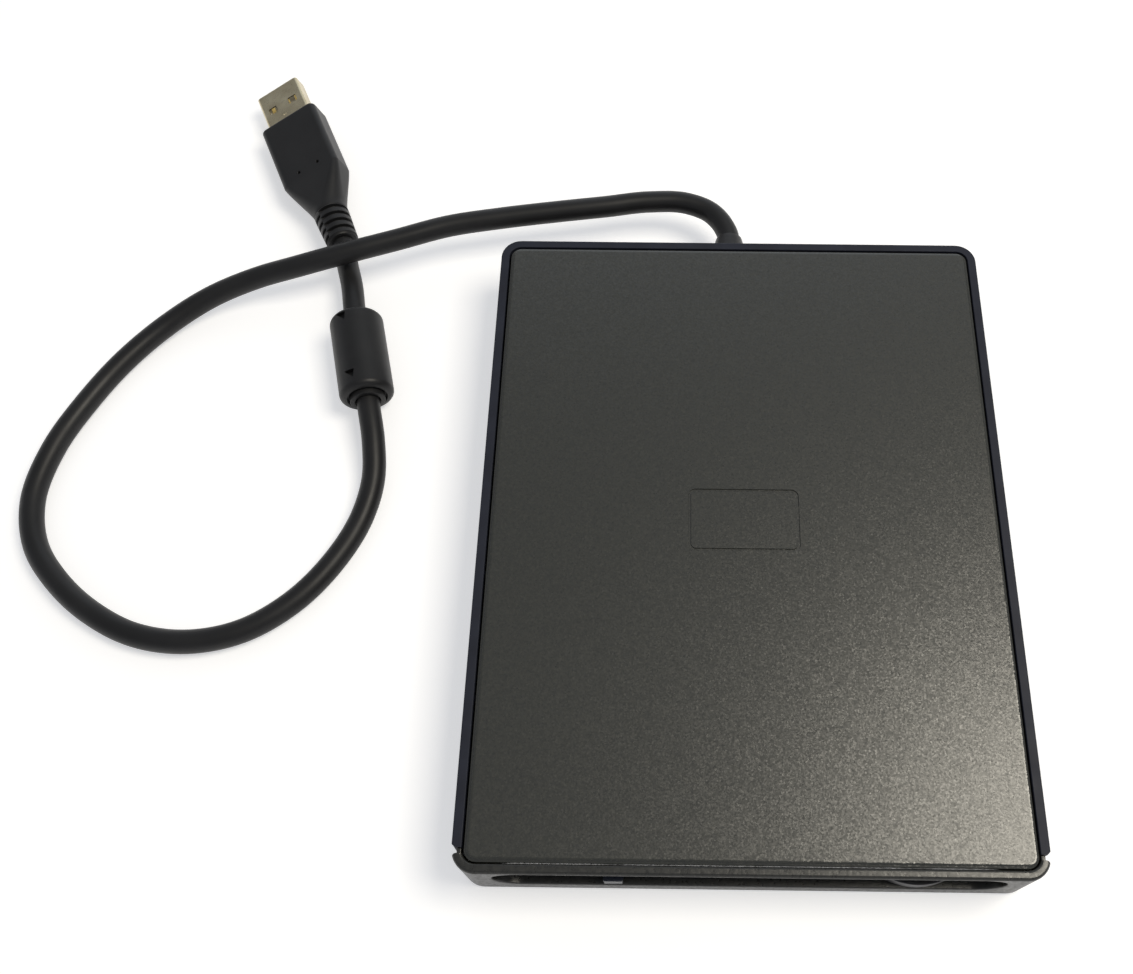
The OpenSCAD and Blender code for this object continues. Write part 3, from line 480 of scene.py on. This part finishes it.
def smooth_path(points, first, last, steps=8):
    """Points on one smooth curve through the route, with its end directions."""
    points = [Vector(p) for p in points]
    lengths = [(b - a).length for a, b in zip(points, points[1:])]
    slopes = []
    for i, p in enumerate(points):
        if i == 0:
            slopes.append(Vector(first))
        elif i == len(points) - 1:
            slopes.append(Vector(last))
        else:
            before, after = lengths[i - 1], lengths[i]
            into = (p - points[i - 1]) / before
            out = (points[i + 1] - p) / after
            slopes.append((into * after + out * before) / (before + after))
    path = [points[0]]
    for i, length in enumerate(lengths):
        a, b = points[i], points[i + 1]
        ta, tb = slopes[i] * length, slopes[i + 1] * length
        for k in range(1, steps + 1):
            t = k / steps
            path.append(
                (2 * t**3 - 3 * t**2 + 1) * a + (t**3 - 2 * t**2 + t) * ta
                + (3 * t**2 - 2 * t**3) * b + (t**3 - t**2) * tb
            )
    return path


def make_cord():
    """Cord from the boot to the plug's tail, along its fixed route."""
    plug_way = PLUG.to_3x3() @ Vector((0, 1, 0))
    path = smooth_path(ROUTE, (0, 1, 0), plug_way)
    curve = bpy.data.curves.new("usb_cord_skin", "CURVE")
    curve.dimensions = "3D"
    curve.bevel_depth = CORD_D / 2 * MM
    curve.bevel_resolution = 10
    curve.use_fill_caps = True
    spline = curve.splines.new("POLY")
    spline.points.add(len(path) - 1)
    for point, p in zip(spline.points, path):
        point.co = (*(p * MM), 1)
    spline.use_smooth = True
    curve.materials.append(MATERIALS["soft_black"])
    cord = bpy.data.objects.new("usb_cord_skin", curve)
    bpy.context.scene.collection.objects.link(cord)
    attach(cord, "root")
    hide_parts("usb_cord")
    length = sum((b - a).length for a, b in zip(path, path[1:])) * MM
    return cord, length


def make_boot():
    """Flange on the back wall, tapered strain relief and the collar inside."""
    place = Matrix.Translation((EXIT_X, BACK, EXIT_Z))
    s = Solid(place @ Matrix.Rotation(math.radians(-90), 4, "X"))
    profile = [
        (2.6, -3.55), (4.8, -3.55), (5, -3.4), (5, -2.1), (4.85, -1.95), (3.4, -1.95),
        (3.4, 0.05), (4.55, 0.05), (4.75, 0.2), (4.75, 0.75), (4.6, 0.95), (4.4, 1.1),
    ]
    profile += [(4.4 - 0.2 * k, 1.1 + k) for k in range(1, 6)]
    profile += [(3.25, 6.9), (3.15, 7.2), (3.0, 7.3), (2.6, 7.3)]
    s.turned(profile, closed=True)
    return s.piece("cord_boot_skin", "root", "soft_black", ["cord_boot"])


def make_ferrite():
    """Round sleeve with soft shoulders, a sunk ring and a collar at each end."""
    place = FERRITE @ Matrix.Rotation(math.radians(-90), 4, "X")
    s = Solid(place)
    half, r, edge = 11, 6.2, 1.5
    end = [(r - edge + edge * math.cos(a), half - edge + edge * math.sin(a))
           for a in (math.pi / 2 * k / 6 for k in range(7))]
    end += [(q, half + y) for q, y in (
        (4.6, 0), (4.5, -0.12), (4.45, -0.8), (4.1, -0.8), (4.0, -0.6),
        (4.0, 0.8), (3.9, 0.93), (3.7, 1), (3.0, 1), (2.8, 0.8),
    )]
    flat = [(r, y) for y in (-8, -4, 0, 4, 8)]
    s.turned([(x, -y) for x, y in reversed(end)] + flat + end, closed=True)
    cuts = []
    for along, turn in FERRITE_WINDOWS:
        cut = Solid(FERRITE @ Matrix.Rotation(math.radians(turn), 4, "Y"))
        corners = [(-1.5, along + 1.2), (1.1, along + 1.0), (0.7, along - 1.1)]
        cut.loft([[(x, y, z) for x, y in corners] for z in (5.05, 7.5)], True, True)
        cuts.append(cut)
    return s.piece("ferrite_sleeve_skin", "root", "soft_black", ["ferrite_sleeve"], cuts=cuts)


def plug_section(y, w, t, r):
    """Points round the plug at y, a rectangle with rounded corners."""
    return [(x, y, z) for x, z, _ in rounded(w, t, min(r, w / 2, t / 2), steps=8)]


def tail_ring(y, r, cut, side):
    """A ring of the plug's tail, sunk by cut on its right (1) or left (-1) side."""
    reach = (-0.35 if side > 0 else 0.5) * r
    ring = []
    for x, _, z in plug_section(0, 2 * r, 2 * r, r):
        k = 1 - cut / r if side * x > reach else 1
        ring.append((x * k, -y, z * k))
    return ring


def make_plug():
    """Grip with its slotted tail, metal shell, insulator and contacts."""
    s = Solid(PLUG)
    w, t, edge = 15.8, 7.8, 1.5
    rings = [plug_section(-11.81, 12.4, 4.9, 0.8)]
    rings += [plug_section(-11.81 + z, w - 2 * i, t - 2 * i, edge)
              for i, z in reversed(quarter(0.7, 5))]
    rings += [plug_section(y, w, t, edge) for y in (-16, -20, -24, -28, -31.6)]
    for k in range(9):
        u = k / 8
        e = u * u * (3 - 2 * u) * 0.2 + u * 0.8
        size = w + (8.6 - w) * e, t + (8.6 - t) * e
        rings.append(plug_section(-32 - 11 * u, *size, edge + 2.8 * e))
    rings += [plug_section(-43.7, 8.6, 8.6, 4.3), plug_section(-44.1, 8.3, 8.3, 4.15)]
    for g in range(8):
        y, r, side = 44.4 + 1.08 * g, 4.3 - 0.05 * g, 1 - 2 * (g % 2)
        rings += [tail_ring(y + at, r, cut, side)
                  for at, cut in ((0, 0), (0.1, 0.9), (0.84, 0.9), (0.94, 0))]
    rings += [plug_section(-53.1, 7.4, 7.4, 3.7), plug_section(-53.4, 7.1, 7.1, 3.55),
              plug_section(-53.5, 6.5, 6.5, 3.25)]
    pins = []
    for x in (-2.37, 3.04):
        pin = Solid(PLUG @ Matrix.Translation((x, -30.35, 0)))
        depths = ((0.4, 3.1), (0.42, 3.8), (0.55, 3.95), (0.6, 4.4))
        pin.loft([circle(q, z, n=20) for q, z in depths], True, True)
        pins.append(pin)
    s.loft(rings, True, True)
    grip = s.piece("plug_body_skin", "root", "soft_black", ["plug_body"], cuts=pins)

    s = Solid(PLUG)
    outer = [plug_section(y, 12, 4.5, 0.75) for y in (-14.8, -7.2, -5.2, -0.12)]
    outer.append(plug_section(0, 11.85, 4.35, 0.68))
    inner = [plug_section(y, 11.4, 3.9, 0.45) for y in (0, -5.2, -7.2, -14.8)]
    skin = s.loft(outer + inner)
    s.band(skin[-1], skin[0])
    windows = []
    for x in (-2.9, 2.9):
        window = Solid(PLUG)
        window.block((x - 1.2, -7.2, -3), (x + 1.2, -5.2, 3), 0.25)
        windows.append(window)
    dimple = Solid(PLUG @ Matrix.Translation((-0.45, -9.4, 0)))
    depths = ((0.15, 2.05), (0.5, 2.3), (0.6, 2.6))
    dimple.loft([circle(q, z, n=20) for q, z in depths], True, True)
    windows.append(dimple)
    shell = s.piece("plug_shell_skin", "root", "nickel", ["plug_shell"], cuts=windows)

    s = Solid(PLUG)
    s.block((-5.6, -14.8, -1.9), (5.6, -0.4, -0.15), 0.25)
    tongue = s.piece("plug_insulator_skin", "root", "nylon_white", ["plug_insulator"])

    s = Solid(PLUG)
    for x in (-3.5, -1, 1, 3.5):
        s.block((x - 0.5, -10.5, -0.15), (x + 0.5, -1.2, 0.05), 0.08)
    contacts = s.piece("plug_contacts_skin", "root", "gold_contact", ["plug_contacts"])
    return [grip, shell, tongue, contacts]


cord, cord_length = make_cord()
on_cord = [make_boot(), make_ferrite(), *make_plug()]
on_cord += [frame["nodes"]["cord_lead"], frame["nodes"]["ferrite_core"]]


# ------------------------------------------------------------ case pieces

def make_cover():
    """Top plate: low ledge, plateau, bare sunk frame, ribs and posts below."""
    s = Solid()
    w, d, r, mid = 105.4, 138.15, 2.3, -0.125
    profile = [(0, 16.2), (0, 17.35)] + [(i, 17.54 + z) for i, z in quarter(0.16, 3)]
    profile += [(0.47, 17.6), (0.5, 17.63)]
    profile += [(1.1 - 0.6 * math.cos(a), 17.86 + 0.14 * math.sin(a))
                for a in (math.pi / 2 * k / 8 for k in range(9))]
    rows = []
    for i, z in profile:
        out = 0.1 if z < 17.6 else 0.25  # the right side stands closer to the rim
        rows.append(rounded(w + out - 2 * i, d - 2 * i, r - i, z, out / 2, mid))
    rings = s.loft(rows, first=True)
    groove = [(-0.06, 18), (0, 17.96), (0.04, 17.76), (0.46, 17.76), (0.5, 17.96), (0.56, 18)]
    sunk = s.loft([rounded(23 - 2 * i, 14 - 2 * i, 1.5 - i, z) for i, z in groove], last=True)
    s.band(rings[-1], sunk[0])
    post = [(2.1, 16.25), (2.1, 6.2), (1.95, 6), (0.95, 6), (0.85, 6.1), (0.85, 11), (0, 11)]
    for x, y in SCREW_POSTS:
        s.place = Matrix.Translation((x, y, 0))
        s.turned(post, 32)
    s.place = Matrix.Identity(4)
    for y in (-45, 0, 45):
        s.block((-46, y - 0.6, 15.7), (46, y + 0.6, 16.21), 0.1)
    return s.piece("top_cover_skin", "root", "cover_charcoal", ["top_cover"])


# Where the case's walls meet the bezel, and where they end above the notch
SEAM, STEP, NOTCH_Z = -67.5, -66.6, 5


def case_path(inset, end, z):
    """Points along the case's wall from its left front end round the back."""
    x, y, r = HALF_W - inset, BACK - inset, CORNER_R - inset
    points = [(-x, end, z), (-x, y - r, z)]
    points += [(-x + r - r * math.cos(a), y - r + r * math.sin(a), z)
               for a in (math.pi / 2 * k / 8 for k in range(1, 9))]
    points += [(-8, y, z), (4.8, y, z)]
    right = [(-px, py, pz) for px, py, pz in reversed(points[:10])]
    return points + right


def case_row(inset, z):
    """One row of the wall's points; above the notch its front ends stand back."""
    x = HALF_W - inset
    cut = 0.6 * max(0.0, 1 - inset / 0.9) if z > NOTCH_Z else 0.0
    near = (-x + cut, STEP, z)
    tip = near if z > NOTCH_Z else (-x, SEAM, z)
    path = case_path(inset, STEP + max(cut, 0.3), z)
    return [tip, near, *path, (-near[0], near[1], z), (-tip[0], tip[1], z)]


def make_case():
    """Floor, walls with a rounded rim, and the places for feet and screws."""
    s = Solid()
    outer = [(i, CASE_LOW - z) for i, z in reversed(quarter(0.35, 3))]
    outer += [(0, 3), (0, 5), (0, 15)] + [(i, RIM_TOP + z) for i, z in quarter(0.35, 5)]
    inner = [(WALL - i, RIM_TOP + z) for i, z in reversed(quarter(0.16, 3))]
    inner += [(WALL, z) for z in (15, 5, 3, CASE_FLOOR)]
    profile = outer + inner
    rows = [s.ring(case_row(inset, z)) for inset, z in profile]
    hole_from = next(i for i, p in enumerate(case_row(0, 0)) if p[0] == -8)
    for k, (a, b) in enumerate(zip(rows, rows[1:])):
        low, high = profile[k][1], profile[k + 1][1]
        around = {low, high} <= {3, 5, 15}
        for i in range(len(a) - 1):
            notch = {low, high} == {5, 15} and i in (0, len(a) - 2)
            if not notch and not (around and i == hole_from):
                s.faces.append((a[i], a[i + 1], b[i + 1], b[i]))
    # the wall round the cord's hole, outside and inside
    at = {(round(i, 3), z): n for n, (i, z) in enumerate(profile)}
    mouths = []
    for inset in (0, WALL):
        low, mid, high = (rows[at[(inset, z)]] for z in (3, 5, 15))
        edge = [low[hole_from], low[hole_from + 1], mid[hole_from + 1], high[hole_from + 1],
                high[hole_from], mid[hole_from]]
        y = BACK - inset
        mouth = s.ring([(EXIT_X + p[0], y, EXIT_Z + p[1]) for p in circle(3.45, n=40)])
        s.fill(edge, mouth)
        mouths.append(mouth)
    s.band(*mouths)
    # ends of the walls: the rim's end is a little rounded
    side = [n for n, (_, z) in enumerate(profile) if z >= 5]
    for pick in (1, -2):
        s.cap([rows[n][pick] for n in side])
    for end, near in ((0, 1), (-1, -2)):
        outside, inside = rows[at[(0, 5)]], rows[at[(WALL, 5)]]
        s.cap([outside[end], outside[near], inside[near], inside[end]])
    low_rows = [n for n, (_, z) in enumerate(profile) if z <= 5]
    left = [rows[n][0] for n in low_rows]
    right = [rows[n][-1] for n in reversed(low_rows)]
    s.cap(left + right)
    # underside with its recesses, and the floor inside
    bottom = rows[0]
    recesses = []
    label = s.loft([rounded(62 - 2 * i, 38 - 2 * i, 2 - i, z, 0, 12) for i, z in
                    ((-0.08, 0.8), (0, 0.88), (0, 1.1))], last=True)
    recesses.append(label[0])
    for x, y in FOOT_PLACES:
        pocket = s.loft([circle(q, z, x, y) for q, z in ((5.2, 0.8), (5.1, 0.9), (5.1, 1.2))],
                        last=True)
        recesses.append(pocket[0])
    through = []
    bore = (
        (2.0, 0.8), (1.9, 0.9), (1.9, 2.0), (1.1, 2.0), (1.1, 6), (2.0, 6), (2.1, 5.9), (2.1, 2.4),
    )
    for x, y in SCREW_POSTS:
        rings = s.loft([circle(q, z, x, y, 32) for q, z in bore])
        recesses.append(rings[0])
        through.append(rings[-1])
    s.fill(bottom, *recesses)
    s.fill(rows[-1], *through)
    for x, y in [(x, y - 69.3) for x in (-38, 38) for y in (14, 112)]:
        s.place = Matrix.Translation((x, y, 0))
        s.turned([(3, 2.38), (3, 2.7), (2.9, 2.8), (0, 2.8)], 32)
    for x in (-43, 43):
        s.place = Matrix.Translation((x, 63.85, 0))
        s.turned([(2.4, 2.38), (2.4, 3.3), (2.3, 3.4), (0, 3.4)], 32)
    s.place = Matrix.Identity(4)
    for y in (-60, -38, -12, 12, 38, 60):
        for low, high in ((-53.15, -52.2), (52.2, 53.15)):
            s.block((low, y - 0.6, 2.39), (high, y + 0.6, 16.2), 0.12)
    for x in (-36, -14, 14, 36):
        s.block((x - 0.6, 68.15, 2.39), (x + 0.6, 69.4, 16.2), 0.12)
    return s.piece("bottom_case_skin", "root", "case_black", ["bottom_case"])


def make_feet():
    """Four round rubber feet with soft lower edges."""
    s = Solid()
    foot = [
        (0, 0), (4.2, 0), (4.6, 0.04), (4.85, 0.18), (4.98, 0.4), (5, 0.7), (5, 1.19), (0, 1.19),
    ]
    for x, y in FOOT_PLACES:
        s.place = Matrix.Translation((x, y, 0))
        s.turned(foot)
    return s.piece("rubber_feet_skin", "root", "foot_rubber", ["rubber_feet"])


def make_bezel():
    """Front frame: a wall with a long rounded window, its corners and floor."""
    s = Solid()
    back, low, high, wall = -67.6, CASE_LOW, RIM_TOP, 1.85
    section = [(i, low - z) for i, z in reversed(quarter(0.35, 3))]
    turns = [math.pi / 2 * k / 6 for k in range(7)]
    section += [(0.6 - 0.6 * math.cos(a), high - 0.7 + 0.7 * math.sin(a)) for a in turns]
    section += [(1.35 + 0.5 * math.sin(a), high - 0.4 + 0.4 * math.cos(a)) for a in turns]
    section += [(wall, CASE_FLOOR)]

    def corner(inset, z):
        """Points round the right front corner at one inset and height."""
        side = min(inset, wall) + (0.05 if inset >= wall else 0)
        r, depth = CORNER_R - side, CORNER_R - inset
        q = 0.5 * (1 - min(inset, wall) / wall) if z > NOTCH_Z else 0.0
        mid_x, mid_y = HALF_W - CORNER_R, FRONT + CORNER_R
        begin = math.asin((mid_y - back + q) / depth)
        x = mid_x + r * math.cos(begin)
        points = [(x - q + q * math.sin(a), back - q + q * math.cos(a), z) for a in turns[:-1]]
        points += [(mid_x + r * math.cos(a), mid_y - depth * math.sin(a), z)
                   for a in (begin + (math.pi / 2 - begin) * k / 10 for k in range(11))]
        return points

    for sign in (1, -1):
        rows = [s.ring([(sign * x, y, z) for x, y, z in corner(i, z)]) for i, z in section]
        for a, b in zip(rows, rows[1:]):
            s.band(a, b, closed=False)
        s.cap([row[0] for row in rows])
    x = HALF_W - CORNER_R
    # straight middle: strips along the edges, and the wall's two faces round the window
    rows = [s.ring([(-x, FRONT + i, z), (x, FRONT + i, z)]) for i, z in section]
    tall_rows = [n for n in range(len(section) - 1) if abs(section[n][1] - section[n + 1][1]) > 10]
    for n, (a, b) in enumerate(zip(rows, rows[1:])):
        if n not in tall_rows:
            s.band(a, b, closed=False)
    window = []
    for inset, deep in ((-0.35, 0), (-0.1, 0.1), (0, 0.35), (0, 1.6), (-0.1, wall)):
        loop = rounded(96 - 2 * inset, 11 - 2 * inset, 5.5 - inset - 0.001, 0, 0, 0, 12)
        window.append(s.ring([(px, FRONT + deep, 11 + pz) for px, pz, _ in loop]))
    for a, b in zip(window, window[1:]):
        s.band(a, b)
    for n, mouth in zip(tall_rows, (window[0], window[-1])):
        a, b = rows[n], rows[n + 1]
        s.fill([a[0], a[1], b[1], b[0]], mouth)
    # floor behind the wall
    for inset, z in ((0.35, low), (wall, CASE_FLOOR)):
        edge = corner(inset, z)
        s.cap(s.ring(edge + [(-px, py, pz) for px, py, pz in reversed(edge)]))
    s.cap(s.ring([(-54.65, back, low), (54.65, back, low),
                  (53.1, back, CASE_FLOOR), (-53.1, back, CASE_FLOOR)]))
    for sign in (-1, 1):
        low_x, high_x = sorted((sign * 52.0, sign * 53.0))
        s.block((low_x, -69.6, 3.4), (high_x, -62.9, 9), 0.3)
        low_x, high_x = sorted((sign * 53.15, sign * 54.0))
        s.block((low_x, -67.8, 14.5), (high_x, -66.65, 17.3), 0.15)
    return s.piece("front_bezel_skin", "root", "bezel_charcoal", ["front_bezel"])


def upright(loop, y):
    """A loop of (x, z) as points on the plane y."""
    return [(p[0], y, p[1]) for p in loop]


def make_faceplate():
    """The drive's own front with its slot, button hole and light pipe hole."""
    s = Solid()
    y0, y1 = -69.3, -67.5
    holes = [
        (lambda i: rounded(91.4 + 2 * i, 4.3 + 2 * i, 0.25 + i, 0, 0, 11.65), 0.35),
        (lambda i: rounded(14.2 + 2 * i, 3.6 + 2 * i, 0.3 + i, 0, 32, 7.6), 0.15),
        (lambda i: rounded(3.9 + 2 * i, 3.6 + 2 * i, 0.3 + i, 0, -25.45, 7.4), 0.12),
    ]
    front_loops, back_loops = [], []
    for loop, lip in holes:
        rings = s.loft([upright(loop(lip), y0), upright(loop(lip * 0.3), y0 + lip * 0.35),
                        upright(loop(0), y0 + lip), upright(loop(0), y1)])
        front_loops.append(rings[0])
        back_loops.append(rings[-1])
    rings = s.loft([
        upright(rounded(100 - 2 * i, 12.7 - 2 * i, 0.6 - i, 0, 0, 9.55), y)
        for i, y in ((0.25, y0), (0.07, y0 + 0.07), (0, y0 + 0.25), (0, y1))
    ])
    s.fill(rings[0], *front_loops)
    s.fill(rings[-1], *back_loops)
    for sign in (-1, 1):
        low, high = sorted((sign * 48.1, sign * 49.5))
        s.block((low, y1 - 0.01, 3.8), (high, -60.3, 10.8), 0.25)
        low, high = sorted((sign * 45.9, sign * 46.7))
        s.block((low, y1 - 0.01, 13.0), (high, -65.8, 15.4), 0.2)
    return s.piece("drive_faceplate_skin", "root", "drive_black", ["drive_faceplate"])


def make_button():
    """Eject button with a curved front and soft edges."""
    s = Solid()
    front, back, r = -71.05, -63.5, 13.4

    def outline(inset, z):
        """The button's outline from above, at one inset and height."""
        half = 7 - inset
        reach = r - inset
        points = [(32 - half, back + inset, z)]
        first = math.asin(-half / reach)
        for k in range(17):
            a = first + (-2 * first) * k / 16
            points.append((32 + reach * math.sin(a), front + r - reach * math.cos(a), z))
        points.append((32 + half, back + inset, z))
        return points

    profile = [(i, 5.9 - z) for i, z in reversed(quarter(0.3, 4))]
    profile += [(i, 9.3 + z) for i, z in quarter(0.3, 4)]
    s.loft([outline(i, z) for i, z in profile], True, True)
    s.block((29, -63.6, 5.9), (35, -62.0, 6.9), 0.15)
    return s.piece("eject_button_skin", "slider", "drive_black", ["eject_button"])


def make_pipe():
    """Light pipe from the activity light to the window."""
    s = Solid()
    s.block((-27.35, -71.1, 5.65), (-23.55, -65.3, 9.15), 0.35)
    return s.piece("light_pipe_skin", "root", "light_pipe_grey", ["light_pipe"])


def make_door():
    """Slot flap on its hinge barrel."""
    s = Solid()
    s.block((-45.5, -67.1, 9.6), (45.5, -66.5, 14.1), 0.2)
    s.place = Matrix.Translation((-45.5, -66.8, 14.2)) @ Matrix.Rotation(math.radians(90), 4, "Y")
    s.turned([
        (0, -1.1), (0.4, -1.1), (0.5, -1.0), (0.5, 0), (0.55, 0.02),
        (0.55, 90.98), (0.5, 91), (0.5, 92), (0.4, 92.1), (0, 92.1),
    ], 24)
    return s.piece("slot_door_skin", "door", "drive_black", ["slot_door"])


make_cover()
make_case()
make_feet()
make_bezel()
make_faceplate()
make_button()
make_pipe()
make_door()

SLOT_OF = {row["node"]: row["material_slot"] for row in frame["record"]["subparts"]}
for node_name, node in frame["nodes"].items():
    if not node.hide_render:
        node.data.materials.clear()
        node.data.materials.append(MATERIALS[SLOT_OF[node_name]])


# --------------------------------------------------- floor, light and sky

def make_floor():
    """A wide flat table whose far edge curves up into a low backdrop all round."""
    mesh = bpy.data.meshes.new("floor")
    bm = bmesh.new()
    profile = [(3.0, 0), (3.3, 0.02), (3.6, 0.1), (3.85, 0.3), (4.0, 0.6), (4.05, 1.3)]
    rings = [[bm.verts.new((q * math.cos(a), q * math.sin(a), z))
              for a in (2 * math.pi * k / 96 for k in range(96))] for q, z in profile]
    bm.faces.new(rings[0])
    for low, high in zip(rings, rings[1:]):
        for k in range(96):
            n = (k + 1) % 96
            bm.faces.new((low[k], low[n], high[n], high[k])).smooth = True
    bm.to_mesh(mesh)
    bm.free()
    floor = bpy.data.objects.new("floor", mesh)
    bpy.context.scene.collection.objects.link(floor)
    material = bpy.data.materials.new("pale_table")
    material.use_nodes = True
    nodes, links = material.node_tree.nodes, material.node_tree.links
    shader = nodes["Principled BSDF"]
    shader.inputs["Base Color"].default_value = (0.74, 0.74, 0.75, 1)
    shader.inputs["Roughness"].default_value = 0.55
    shader.inputs["Specular IOR Level"].default_value = 0.2
    glow = nodes.new("ShaderNodeEmission")
    glow.inputs["Color"].default_value = (1, 1, 1, 1)
    path = nodes.new("ShaderNodeLightPath")
    seen = path.outputs["Is Camera Ray"]
    for ray in ("Is Glossy Ray", "Is Transmission Ray"):
        add = nodes.new("ShaderNodeMath")
        add.operation = "MAXIMUM"
        links.new(seen, add.inputs[0])
        links.new(path.outputs[ray], add.inputs[1])
        seen = add.outputs["Value"]
    level = nodes.new("ShaderNodeMath")
    level.operation = "MULTIPLY"
    level.inputs[1].default_value = 0.5
    both = nodes.new("ShaderNodeAddShader")
    links.new(seen, level.inputs[0])
    links.new(level.outputs["Value"], glow.inputs["Strength"])
    links.new(shader.outputs["BSDF"], both.inputs[0])
    links.new(glow.outputs["Emission"], both.inputs[1])
    links.new(both.outputs["Shader"], nodes["Material Output"].inputs["Surface"])
    mesh.materials.append(material)


def area_light(name, place, aim, size, power, colour):
    """A rectangular lamp at place, turned towards aim."""
    data = bpy.data.lights.new(name, "AREA")
    data.shape = "RECTANGLE"
    data.size, data.size_y = size
    data.energy = power
    data.color = colour
    lamp = bpy.data.objects.new(name, data)
    lamp.location = place
    lamp.rotation_euler = (Vector(aim) - Vector(place)).to_track_quat("-Z", "Y").to_euler()
    bpy.context.scene.collection.objects.link(lamp)


def make_light():
    """Warm window light from the right, a cool fill from behind and a pale sky."""
    area_light("window", (0.44, 0.02, 0.90), (0, 0, 0), (0.42, 0.42), 6.0, (1.0, 0.935, 0.80))
    area_light("fill", (0.02, 0.92, 0.50), (0, 0, 0), (0.8, 0.8), 1.15, (0.85, 0.92, 1.0))
    world = bpy.data.worlds.new("sky")
    world.use_nodes = True
    world.node_tree.nodes["Background"].inputs["Color"].default_value = (0.88, 0.92, 1.0, 1)
    world.node_tree.nodes["Background"].inputs["Strength"].default_value = 0.34
    bpy.context.scene.world = world


make_floor()
make_light()
bpy.context.scene.view_settings.view_transform = "Standard"
